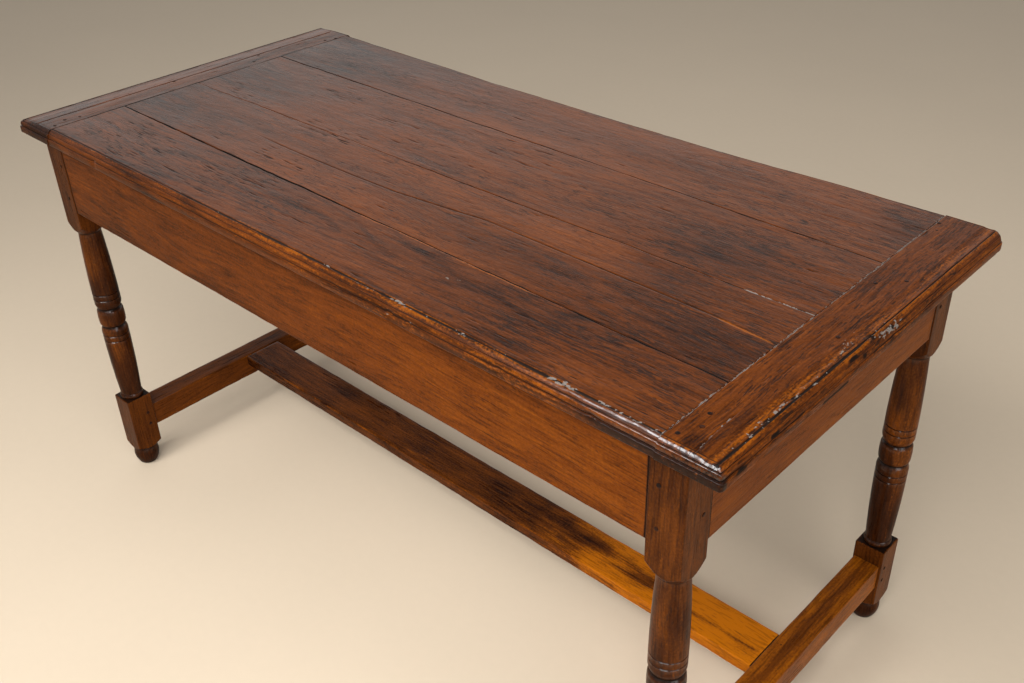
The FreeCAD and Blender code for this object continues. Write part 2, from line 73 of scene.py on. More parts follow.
TOP = box("plank_front")[1].z
UNDERSIDE = box("plank_front")[0].z
LEFT_JOINT = box("end_board_left")[1].x
RIGHT_JOINT = box("end_board_right")[0].x
FRONT_EDGE = box("plank_front")[0].y
REAR_EDGE = box("plank_rear")[1].y
LEG_LOW, LEG_HIGH = box("leg_rear_right")
LEG_BLOCK = LEG_HIGH.x - LEG_LOW.x
LEG_X = (LEG_HIGH.x + LEG_LOW.x) / 2
LEG_Y = (LEG_HIGH.y + LEG_LOW.y) / 2


# Properties

def length(label, text, default):
    return bpy.props.FloatProperty(name=label, description=text, default=default, unit="LENGTH", precision=4)


def share(label, text, default):
    return bpy.props.FloatProperty(
        name=label, description=text, default=default, min=0.0, max=1.0, subtype="FACTOR")


def turn(label, text, default):
    return bpy.props.FloatProperty(
        name=label, description=text, default=math.radians(default), subtype="ANGLE")


def power(label, text, default):
    return bpy.props.FloatProperty(name=label, description=text, default=default, unit="POWER")


def tint(label, text, default):
    return bpy.props.FloatVectorProperty(
        name=label, description=text, default=default, size=3, min=0.0, max=1.0, subtype="COLOR")


class TopShape(bpy.types.PropertyGroup):
    """Shape and wear of the framed top."""

    lip_height: length("Lip height", "Plain lip at the bottom of the moulded edge", 0.011)
    groove_height: length("Groove height", "Groove between lip and bead", 0.0018)
    groove_depth: length("Groove depth", "How far the groove goes in from the lip", 0.006)
    bead_height: length("Bead height", "Round bead in the middle of the edge", 0.007)
    bead_inset: length("Bead inset", "Where the bead springs from, in from the lip", 0.0042)
    bead_swell: length("Bead swell", "How far the bead stands out", 0.0022)
    quirk_height: length("Quirk height", "Narrow sinking between bead and rolled edge", 0.0016)
    quirk_depth: length("Quirk depth", "How far the quirk goes in from the lip", 0.0085)
    roll_inset: length("Roll inset", "Where the rolled edge starts, in from the lip", 0.0062)
    roll_width: length("Roll width", "Width of the rolled edge seen from above", 0.005)
    corner_radius: length("Corner radius", "Rounding of the outer corners seen from above", 0.005)
    worn_corner_radius: length("Worn corner radius", "Rounding of the rubbed rear corner at the right", 0.016)
    scored_line: length("Scored line", "Fine line cut in the top along the edge, in from the lip", 0.0128)
    arris: length("Arris", "Mean rounding of the worn plank edges", 0.0009)
    bruise: length("Bruise", "Depth of the dents along the moulded edge", 0.0014)
    cupping: length("Cupping", "How far the planks sink between their edges", 0.0007)
    check_depth: length("Check depth", "Depth of the drying checks in the planks", 0.0006)
    split_depth: length("Split depth", "Depth of the long split in the front middle plank", 0.0010)
    hollow_depth: length("Hollow depth", "Worn hollow along the outer edge of the end boards", 0.0011)
    droop: length("Droop", "How far the outer edge of the left end board has sunk", 0.003)


class LegShape(bpy.types.PropertyGroup):
    """Heights and radii of the turned legs, from the floor up."""

    foot_base: length("Foot base", "Radius where the foot meets the floor", 0.0165)
    foot_radius: length("Foot radius", "Largest radius of the bun foot", 0.0248)
    foot_neck: length("Foot neck", "Radius above the bun foot", 0.022)
    foot_height: length("Foot height", "Top of the bun foot", 0.0415)
    lower_block: length("Lower block", "Start of the lower square block", 0.054)
    lower_block_top: length("Lower block top", "End of the lower square block", 0.1705)
    ring_top: length("Ring top", "Top of the ring on the lower block", 0.1815)
    ring_radius: length("Ring radius", "Radius of the ring on the lower block", 0.0228)
    slim: length("Slim radius", "Radius of the thin ends of the shafts", 0.0207)
    full: length("Full radius", "Radius of the collars", 0.0253)
    collar: length("Collar", "Height of the collars beside the barrel", 0.026)
    shoulder: length("Shoulder", "Height of the rounded shoulders", 0.013)
    waist: length("Waist", "Height of the lower neck of the barrel", 0.342)
    waist_radius: length("Waist radius", "Radius of the necks", 0.022)
    barrel_height: length("Barrel height", "Height of the barrel with its two necks", 0.043)
    barrel_neck: length("Barrel neck", "Height of each neck", 0.003)
    barrel_radius: length("Barrel radius", "Largest radius of the barrel", 0.0255)
    line_spacing: length("Line spacing", "Spacing of the two cut lines on a collar", 0.0122)
    line_offset: length("Line offset", "Distance of the first cut line from the shoulder", 0.006)
    line_width: length("Line width", "Width of a cut line", 0.0026)
    line_depth: length("Line depth", "Depth of a cut line", 0.0013)
    pommel: length("Pommel", "Start of the pommel under the post", 0.550)
    pommel_radius: length("Pommel radius", "Radius at the start of the pommel", 0.0217)
    post: length("Post", "Start of the square post", 0.570)
    arris: length("Arris", "Rounding of the square corners", 0.0016)


class WoodColours(bpy.types.PropertyGroup):
    """Colours of the old waxed wood."""

    top_dark: tint("Top dark", "Darkest grain of the top", (0.014, 0.0040, 0.0016))
    top_mid: tint("Top middle", "Main colour of the top", (0.098, 0.0238, 0.0032))
    top_light: tint("Top light", "Lightest grain of the top", (0.195, 0.050, 0.0062))
    frame_dark: tint("Frame dark", "Darkest grain of aprons and rails", (0.036, 0.0085, 0.0014))
    frame_mid: tint("Frame middle", "Main colour of aprons and rails", (0.118, 0.0275, 0.0026))
    frame_light: tint("Frame light", "Lightest grain of aprons and rails", (0.21, 0.055, 0.0042))
    leg_dark: tint("Leg dark", "Darkest grain of the legs", (0.010, 0.0028, 0.0012))
    leg_mid: tint("Leg middle", "Main colour of the legs", (0.042, 0.0106, 0.0020))
    leg_light: tint("Leg light", "Lightest grain of the legs", (0.115, 0.031, 0.004))
    stretcher_dark: tint("Stretcher dark", "Darkest grain of the stretchers", (0.018, 0.0050, 0.0018))
    stretcher_mid: tint("Stretcher middle", "Main colour of the stretchers", (0.125, 0.032, 0.0035))
    stretcher_light: tint("Stretcher light", "Lightest grain of the stretchers", (0.42, 0.118, 0.003))
    worn: tint("Worn", "Wood rubbed bright on edges", (0.245, 0.063, 0.0026))
    # The soil colour also paints the shadow under the top and the thin shadow under the lip.
    soil: tint("Soil", "Old dirt in cracks and grooves", (0.0055, 0.0038, 0.0030))
    dust: tint("Dust", "Pale dust and filler in joints and dents", (0.19, 0.167, 0.148))
    gloss: share("Gloss", "Roughness of the waxed top", 0.31)
    leg_gloss: share("Leg gloss", "Roughness of the polished legs", 0.30)


class StageSetup(bpy.types.PropertyGroup):
    """Camera, floor and lights."""

    camera_place: bpy.props.FloatVectorProperty(
        name="Camera place", description="Where the camera stands",
        default=LEGS_MIDDLE + Vector((1.1912, -1.10261, 1.48055)),
        size=3, subtype="TRANSLATION", unit="LENGTH")
    camera_yaw: turn("Camera yaw", "Turn of the view to the left of the +Y direction", 44.02)
    camera_pitch: turn("Camera pitch", "Tilt of the view, below the horizon when negative", -32.95)
    camera_roll: turn("Camera roll", "Turn about the line of view", -1.79)
    focal_length: bpy.props.FloatProperty(
        name="Focal length", description="Focal length of the camera in millimetres", default=38.887)
    floor_colour: tint("Floor colour", "Plain pale floor", (0.64, 0.525, 0.39))
    sky_colour: tint("Surroundings", "Colour of the bright walls", (1.0, 0.98, 0.95))
    sky_strength: bpy.props.FloatProperty(
        name="Surroundings strength", description="Strength of the light from the walls", default=1.48)
    wall_start: turn("Wall fades from", "Height angle where the bright walls start to fade", 25.0)
    wall_end: turn("Wall fades to", "Height angle where the bright walls have faded", 33.0)
    side_walls: share("Side walls", "Brightness of the other walls against the one behind the table", 0.28)
    ceiling: share("Ceiling", "Brightness of the ceiling against the walls", 0.10)
    key_power: power("Key power", "Power of the large soft light in front", 62.0)
    glint_power: power("Glint power", "Power of the small light in front at the left", 58.0)
    top_power: power("Top power", "Power of the soft light overhead", 12.0)
    side_power: power("Side power", "Power of the soft light at the right", 56.0)


# Direction of the brightest wall, behind the table as the camera sees it.
BACK_WALL = (-0.69, 0.72, 0.0)

FLOOR_REACH = 60.0

# Soft square lights as place, goal and size.
LIGHTS = {
    "key": ((0.9, -1.8, 2.4), (0.0, -0.1, 0.5), 1.7),
    "glint": ((-0.5, -2.05, 2.65), (0.4, -0.3, 0.7), 1.0),
    "top": ((0.3, 0.0, 3.4), (0.3, 0.0, 0.0), 3.0),
    "side": ((3.4, -0.9, 1.7), (0.7, 0.0, 0.5), 2.2),
}


# Fields over vertices

LATTICE = 32
LATTICE_SHIFT = 512.0


def ramp(value, start, end):
    """0 at start and 1 at end, eased between them, with the two in either order."""
    part = np.clip((value - start) / (end - start), 0.0, 1.0)
    return part * part * (3.0 - 2.0 * part)


def between(value, low, high, fade):
    """1 between two limits, fading out inside them."""
    return ramp(value, low, low + fade) * ramp(value, high, high - fade)


def drift(points, cell, seed):
    """Smooth random field from -1 to 1 that changes over about one cell along each axis."""
    values = np.random.default_rng(seed).uniform(-1.0, 1.0, (LATTICE,) * 3)
    place = points / np.asarray(cell) + LATTICE_SHIFT
    low = np.floor(place).astype(int)
    part = place - low
    part = part * part * (3.0 - 2.0 * part)
    total = np.zeros(len(points))
    for corner in np.ndindex(2, 2, 2):
        index = (low + corner) % LATTICE
        weight = np.where(corner, part, 1.0 - part).prod(axis=1)
        total += weight * values[index[:, 0], index[:, 1], index[:, 2]]
    return total


def scored(run, across, path, half_width, taper):
    """Groove from 0 to 1 along a path of (run, across) points, thinning out over a taper at both ends."""
    runs, places = zip(*path)
    side = np.abs(across - np.interp(run, runs, places))
    return between(run, runs[0], runs[-1], taper) * np.clip(1.0 - side / half_width, 0.0, 1.0)


def blot(run, across, centre, size):
    """Soft round patch from 0 to 1 about a centre, with its size along and across the grain."""
    reach = ((run - centre[0]) / size[0]) ** 2 + ((across - centre[1]) / size[1]) ** 2
    return np.exp(-reach)


# Blanks and pieces

class Carving:
    """A blank while it is shaped: its vertices, and the marks on them: wear and dirt left by use, and painted
    light and shade.
    """

    def __init__(self, blank):
        self.mesh = bpy.data.meshes.new("blank")
        blank.to_mesh(self.mesh)
        blank.free()
        flat = np.empty(len(self.mesh.vertices) * 3)
        self.mesh.vertices.foreach_get("co", flat)
        self.points = flat.reshape(-1, 3)
        self.marks = {name: np.zeros(len(self.points)) for name in MARKS}

    def mark(self, name, amount):
        """Keeps the stronger of an old and a new mark at each vertex."""
        self.marks[name] = np.maximum(self.marks[name], amount)

    def shade(self, amount):
        """Adds to the tone, which is lighter above 0 and darker below."""
        self.marks["tone"] += amount

    def put(self, name, material, slot, node, sharp=38.0):
        """Makes the finished piece: it stands for a node, takes a material and rides on the table."""
        self.mesh.name = name
        self.mesh.vertices.foreach_set("co", (self.points + np.array(LEGS_MIDDLE)).ravel())
        outward = bmesh.new()
        outward.from_mesh(self.mesh)
        bmesh.ops.recalc_face_normals(outward, faces=outward.faces)
        outward.to_mesh(self.mesh)
        outward.free()
        for mark, values in self.marks.items():
            layer = self.mesh.attributes.new(mark, "FLOAT", "POINT")
            layer.data.foreach_set("value", values.astype(np.float32))
        self.mesh.shade_smooth()
        self.mesh.set_sharp_from_angle(angle=math.radians(sharp))
        self.mesh.materials.append(material)
        piece = bpy.data.objects.new(name, self.mesh)
        bpy.context.scene.collection.objects.link(piece)
        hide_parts(node)
        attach(piece, BODY)
        return piece


def gridded_cube(cells):
    """Closed unit cube with its edges along X, Y and Z divided into the given numbers of cells."""
    blank = bmesh.new()
    bmesh.ops.create_cube(blank, size=1.0, matrix=Matrix.Translation((0.5, 0.5, 0.5)))
    for axis, count in enumerate(cells):
        lines = []
        for edge in blank.edges:
            ends = [vert.co[axis] for vert in edge.verts]
            if abs(ends[0] - ends[1]) > 0.5:
                lines.append(edge)
        bmesh.ops.subdivide_edges(blank, edges=lines, cuts=count - 1, use_grid_fill=True)
    return blank


def stations(low, high, count, edge_steps):
    """Places of grid lines between two limits: fixed small steps at both ends, evenly spread between."""
    steps = np.cumsum(edge_steps)
    inner = np.linspace(low + steps[-1], high - steps[-1], count)
    return np.concatenate(([low], low + steps[:-1], inner, high - steps[-2::-1], [high]))


def placed(values, spots):
    """Grid line places for vertices whose coordinate runs from 0 to 1 over evenly spaced lines."""
    index = np.rint(values * (len(spots) - 1)).astype(int)
    return spots[index]


# Boards of the top

# Grid lines along a board, cells across it, and the small steps of the grid at both ends.
PLANK_LINES = 204
PLANK_CELLS = 126
PLANK_STEPS = (0.0006, 0.0014, 0.003)
END_BOARD_LINES = 176
END_BOARD_CELLS = 84
END_BOARD_STEPS = (0.0008, 0.0012, 0.0016, 0.002, 0.0024, 0.003)

# Half the gap between the planks and the end boards, and the angle from which an edge of the top looks sharp.
PLANK_END_GAP = 0.0003
TOP_SHARP = 62.0


def moulding(shape):
    """Levels of the moulded edge from the top down: depth, inset from the lip, dirt (painted shadow at the
    lip's bottom edge) and rubbing.
    """
    thickness = TOP - UNDERSIDE
    roll_height = thickness - shape.lip_height - shape.groove_height - shape.bead_height - shape.quirk_height
    levels = []
    for angle in np.radians((90, 72, 56, 40, 24, 0)):
        across = shape.roll_inset + shape.roll_width * (1.0 - math.cos(angle))
        levels.append((roll_height * (1.0 - math.sin(angle)), across, 0.0, 0.95 * math.sin(angle)))
    bead_top = roll_height + shape.quirk_height
    levels.append((roll_height + shape.quirk_height / 2, shape.quirk_depth, 0.85, 0.0))
    for angle in np.radians((-90, -62, -35, 0, 35, 62, 90)):
        down = bead_top + shape.bead_height * (1.0 + math.sin(angle)) / 2
        edge = abs(math.sin(angle)) ** 4
        inset = shape.bead_inset - shape.bead_swell * math.cos(angle)
        levels.append((down, inset, 0.12 * edge, 0.55 * math.cos(angle)))
    lip_top = bead_top + shape.bead_height + shape.groove_height
    soft = shape.arris
    levels.append((lip_top - shape.groove_height / 2, shape.groove_depth, 0.85, 0.0))
    levels.append((lip_top, soft, 0.0, 0.5))
    levels.append((lip_top + soft * 0.4, soft * 0.25, 0.0, 0.5))
    levels.append((lip_top + soft * 1.5, 0.0, 0.0, 0.40))
    levels.append((thickness - soft * 1.5, 0.0, 0.0, 0.36))
    # The dark at the lip's bottom edge is painted shadow under the lip.
    levels.append((thickness - soft * 0.4, soft * 0.25, 0.5, 0.0))
    levels.append((thickness, soft, 0.7, 0.0))
    return np.array(levels)


def rounded(inset, depth, radius):
    """Inset of a worn arris at a depth under the top: a quarter round of the given radius."""
    rise = np.clip(radius - depth, 0.0, None)
    return inset + radius - np.sqrt(np.clip(radius ** 2 - rise ** 2, 0.0, None))


class TopBoard(Carving):
    """Board of the top. Run goes along its grain, across goes over it, depth goes down from the top."""

    def __init__(self, runs, cells_across, shape):
        levels = moulding(shape)[::-1]
        super().__init__(gridded_cube((len(runs) - 1, cells_across, len(levels) - 1)))
        self.shape = shape
        unit = self.points
        self.span = (runs[0], runs[-1])
        self.along = placed(unit[:, 0], (runs - runs[0]) / (runs[-1] - runs[0]))
        self.over = unit[:, 1].copy()
        self.depth = placed(unit[:, 2], levels[:, 0])
        self.inset = placed(unit[:, 2], levels[:, 1])
        self.level_dirt_and_shade = placed(unit[:, 2], levels[:, 2])
        self.level_rub = placed(unit[:, 2], levels[:, 3])
        self.lip_top = TOP - UNDERSIDE - shape.lip_height
        self.run = self.span[0] + self.along * (self.span[1] - self.span[0])
        self.near_top = ramp(self.depth, 0.006, 0.0)

    def rubbed_inset(self):
        """Inset of a moulding rubbed down to an even slope between the top and the lip."""
        shape = self.shape
        slope = (
            (0.0, shape.roll_inset + shape.roll_width),
            (self.lip_top * 0.35, shape.roll_inset * 0.8),
            (self.lip_top, shape.arris),
        )
        return np.where(self.depth < self.lip_top, np.interp(self.depth, *zip(*slope)), self.inset)

    def edge_insets(self, moulded, seed, rubbed):
        """Inset of one side: the bruised and rubbed moulding where there is one, or else a worn arris."""
        line = np.column_stack((self.run, self.run * 0.0, self.depth))
        if moulded:
            dents = np.clip(drift(line, (0.030, 1.0, 0.005), seed) - 0.35, 0.0, None)
            return self.inset + rubbed * (self.rubbed_inset() - self.inset) + self.shape.bruise * dents
        line[:, 2] = 0.0
        radius = self.shape.arris * (1.1 + 0.7 * drift(line, 0.05, seed) + 0.4 * drift(line, 0.012, seed + 1))
        return rounded(0.0, self.depth, np.clip(radius, self.shape.arris * 0.3, None))

    def lay(self, low, high, moulded, seed, rubbed):
        """Spreads the grid between two edges across the grain, with mouldings rubbed down by a share."""
        first = self.edge_insets("across_low" in moulded, seed, rubbed)
        last = self.edge_insets("across_high" in moulded, seed + 2, rubbed)
        start = self.edge_insets("run_low" in moulded, seed + 4, rubbed)
        stop = self.edge_insets("run_high" in moulded, seed + 6, rubbed)
        long = self.span[1] - self.span[0]
        self.run = self.span[0] + start + self.along * (long - start - stop)
        self.across = low + first + self.over * (high - low - first - last)
        self.from_low = self.across - low
        self.from_high = high - self.across

    def sink(self, amount):
        """Lowers the top surface by an amount that fades out down the edge."""
        self.depth = self.depth + amount * self.near_top

    def cut(self, path, half_width, depth, taper, soil=1.0):
        """Cuts a groove along a path into the top and fills it with dirt."""
        groove = scored(self.run, self.across, path, half_width, taper) * self.near_top
        self.sink(groove * depth)
        self.mark("soil", groove * soil)

    def checks(self, count, area, seed, bold=1.0):
        """Short drying checks along the grain, spread over an area of the top, wider and deeper when bold."""
        chance = np.random.default_rng(seed)
        (run_low, run_high), (low, high) = area
        for _ in range(count):
            run = chance.uniform(run_low, run_high)
            across = chance.uniform(low, high)
            reach = chance.uniform(0.006, 0.016) * chance.choice((1.0, 1.0, 1.6))
            lean = chance.normal(0.0, 0.04) * reach
            half_width = bold * chance.uniform(0.0011, 0.0015)
            path = ((run - reach, across - lean), (run, across), (run + reach, across + lean))
            self.cut(path, half_width, bold * self.shape.check_depth * chance.uniform(0.3, 0.9), reach * 0.7,
                     bold * chance.uniform(0.5, 0.95))

    def cake(self, from_line, amount, crumbs, seed):
        """Fills a scored line with a ragged ridge of black dirt, wider with the amount, and grey crumbs."""
        plan = self.world()
        ragged = np.clip(0.6 + 0.8 * drift(plan, (0.022, 0.022, 1.0), seed), 0.0, 1.2)
        half_width = 0.0014 + 0.0020 * amount * ragged
        ridge = np.clip(1.5 - 1.5 * np.abs(from_line) / half_width, 0.0, 1.0) * self.near_top
        self.sink(ridge * 0.0009)
        self.mark("soil", ridge)
        clump = np.clip(0.45 + 0.9 * drift(plan, (0.024, 0.012, 1.0), seed + 1), 0.0, 1.0)
        self.mark("dust", ramp(np.abs(from_line), 0.0045, 0.0015) * clump * crumbs * self.near_top)

    def soil_and_shade_moulding(self, moulded):
        """Dirt in the groove and quirk, painted shadow along the lip's bottom edge, and rubbed wood on the
        bead and roll, of moulded sides only.
        """
        sides = {"across_low": self.over == 0.0, "across_high": self.over == 1.0,
                 "run_low": self.along == 0.0, "run_high": self.along == 1.0}
        self.outside = np.zeros(len(self.points), bool)
        for side in moulded:
            self.outside |= sides[side]
        plan = self.world()
        grit = 0.8 + 0.3 * drift(plan, (0.03, 0.03, 0.01), 91)
        self.mark("soil", np.where(self.outside, self.level_dirt_and_shade * grit, 0.0))
        rubbed = np.clip(0.72 + 0.55 * drift(plan, (0.07, 0.07, 0.02), 92), 0.0, 1.0)
        self.mark("wear", np.where(self.outside, self.level_rub * rubbed, 0.0))

    def world(self):
        """Places of the vertices as run, across and height."""
        return np.column_stack((self.run, self.across, TOP - self.depth))

    def finish_points(self, swapped):
        """Writes the vertices, with run along Y instead of X where swapped."""
        points = self.world()
        self.points = points[:, (1, 0, 2)] if swapped else points


def joint_lines():
    """Y of the three joints between the tapering planks at the left and the right end."""
    low = {name: box(name)[0].y for name in PLANKS}
    high = {name: box(name)[1].y for name in PLANKS}
    return (
        (high["plank_front"], low["plank_front_middle"]),
        (low["plank_rear_middle"], high["plank_front_middle"]),
        (high["plank_rear_middle"], low["plank_rear"]),
    )


# Half openings of the three joints, from the front, along X from the left to the right.
JOINT_OPENINGS = (
    ((-0.66, 0.0005), (-0.56, 0.0011), (-0.30, 0.0015), (-0.02, 0.0010), (0.04, 0.0005),
     (0.36, 0.0004), (0.42, 0.0010), (0.56, 0.0008), (0.66, 0.0003)),
    ((-0.66, 0.0001), (-0.12, 0.0001), (-0.06, 0.0002), (0.56, 0.0002), (0.66, 0.0003)),
    ((-0.66, 0.0006), (-0.30, 0.0008), (0.10, 0.0006), (0.20, 0.0003), (0.66, 0.0002)),
)

# Dirt on the edges of the three joints, from the front.
JOINT_DIRT = (0.9, 0.4, 0.6)

# The long split in the front middle plank, and its pale end.
LONG_SPLIT = ((-0.38, -0.111), (-0.235, -0.1150), (-0.10, -0.1145), (0.0, -0.112), (0.10, -0.101),
              (0.17, -0.092), (0.30, -0.094), (0.56, -0.097), (0.66, -0.105))
PALE_SPLIT = ((0.55, -0.097), (0.66, -0.105))

# Deep single checks as (x, y, half length).
DEEP_CHECKS = (
    (-0.060, 0.225, 0.020), (-0.170, 0.083, 0.018), (0.010, 0.090, 0.014), (0.070, 0.090, 0.020),
    (0.110, 0.110, 0.014), (-0.130, 0.040, 0.022), (-0.150, 0.020, 0.016), (0.020, 0.028, 0.012),
    (0.080, 0.143, 0.016), (0.200, 0.185, 0.012), (0.215, -0.033, 0.008), (0.195, -0.147, 0.016),
    (0.020, -0.162, 0.014), (-0.220, -0.150, 0.018), (-0.180, -0.233, 0.016), (-0.040, -0.270, 0.022),
    (0.060, -0.240, 0.012), (0.090, -0.263, 0.018), (0.150, -0.320, 0.014), (0.600, 0.078, 0.011),
    (0.345, 0.100, 0.018), (-0.400, -0.165, 0.014), (-0.430, -0.262, 0.024), (-0.350, -0.290, 0.026),
    (-0.300, -0.245, 0.022), (-0.480, -0.315, 0.020), (-0.520, -0.240, 0.016),
)

# Clusters of short checks as (count, limits along X, limits along Y).
CHECK_CLUSTERS = (
    (22, (-0.37, -0.20), (-0.045, 0.008)),
    (10, (-0.43, -0.33), (0.088, 0.122)),
    (8, (-0.27, -0.18), (0.060, 0.086)),
    (14, (-0.30, -0.18), (-0.168, -0.128)),
    (9, (-0.58, -0.47), (-0.028, 0.002)),
    (10, (-0.05, 0.10), (0.085, 0.150)),
)

# Dark clouds in the planks as (x, y, size along, size across, strength).
STAINS = (
    (0.480, 0.040, 0.10, 0.050, 0.16), (0.470, -0.060, 0.06, 0.040, 0.20), (0.640, 0.260, 0.05, 0.060, 0.18),
    (0.580, -0.150, 0.09, 0.040, 0.20), (0.250, -0.150, 0.16, 0.030, 0.10), (0.300, 0.250, 0.14, 0.040, 0.08),
    (-0.450, 0.250, 0.20, 0.050, 0.06),
)

# Small pale specks in the front plank as (x, y, size along, size across).
PALE_SPECKS = ((0.246, -0.246, 0.008, 0.003), (0.264, -0.241, 0.007, 0.003), (0.623, -0.330, 0.022, 0.006),
               (0.524, -0.327, 0.014, 0.005))

# How far the worn rear edge of the last plank stands out from its sound line, along X.
REAR_WEAR = (
    (-0.66, 0.003), (-0.49, 0.001), (-0.25, -0.006), (0.0, -0.008), (0.25, -0.007), (0.40, -0.001),
    (0.52, 0.004), (0.66, 0.0065),
)

# Trail of pale crumbs over the moulding of the right end board as (y, distance from the outer edge).
CRUMB_TRAIL = ((-0.085, 0.022), (-0.045, 0.020), (0.005, 0.008), (0.060, 0.004))

# Cracks in the right and the left end board as (y, x), and dark patches at the front of the right one
# as (y, x, size along, size across).
RIGHT_CRACK = ((-0.340, 0.7055), (-0.29, 0.7005), (-0.235, 0.699))
LEFT_CRACK = ((-0.34, -0.7085), (0.0, -0.707), (0.34, -0.7085))
CORNER_STAINS = ((-0.318, 0.694, 0.020, 0.016), (-0.262, 0.712, 0.030, 0.010))

# Chips in the upper arris of the front lip as (x, half length, depth).
FRONT_CHIPS = ((0.573, 0.005, 0.003), (0.238, 0.005, 0.003), (0.276, 0.004, 0.002), (-0.507, 0.005, 0.004),
               (0.432, 0.005, 0.002))


def joint_wander(run, joint):
    """How far a joint between two planks strays from its straight line."""
    line = np.column_stack((run, run * 0.0, run * 0.0))
    return 0.0009 * drift(line, 0.06, 30 + joint) + 0.0005 * drift(line, 0.017, 35 + joint)


def joint_edge(run, joint, side):
    """Edge of the plank on one side of a joint: the straight line, half its opening and its wander."""
    straight = np.interp(run, (LEFT_JOINT, RIGHT_JOINT), joint_lines()[joint])
    opening = np.interp(run, *zip(*JOINT_OPENINGS[joint]))
    return straight + side * opening + joint_wander(run, joint)


def worn_rear(run):
    """Rear edge of the last plank, bowed and a little wavy."""
    return REAR_EDGE + np.interp(run, *zip(*REAR_WEAR)) - 0.0008 * np.sin(run * 23.0)


def plank(index, shape, material):
    name = PLANKS[index]
    runs = stations(LEFT_JOINT + PLANK_END_GAP, RIGHT_JOINT - PLANK_END_GAP, PLANK_LINES, PLANK_STEPS)
    board = TopBoard(runs, PLANK_CELLS, shape)
    moulded = set()
    if index == 0:
        low = np.full(len(board.run), FRONT_EDGE)
        moulded.add("across_low")
    else:
        low = joint_edge(board.run, index - 1, 1.0)
    if index == 3:
        high = worn_rear(board.run)
        moulded.add("across_high")
    else:
        high = joint_edge(board.run, index, -1.0)
    board.lay(low, high, moulded, 20 * index + 3, 0.7 - 0.2 * ramp(board.run, 0.3, 0.6))
    board.soil_and_shade_moulding(moulded)
    weather_plank(board, index)
    if index == 0:
        weather_front_edge(board)
    board.finish_points(False)
    return board.put(name + "_timber", material, "top_wood", name, TOP_SHARP)


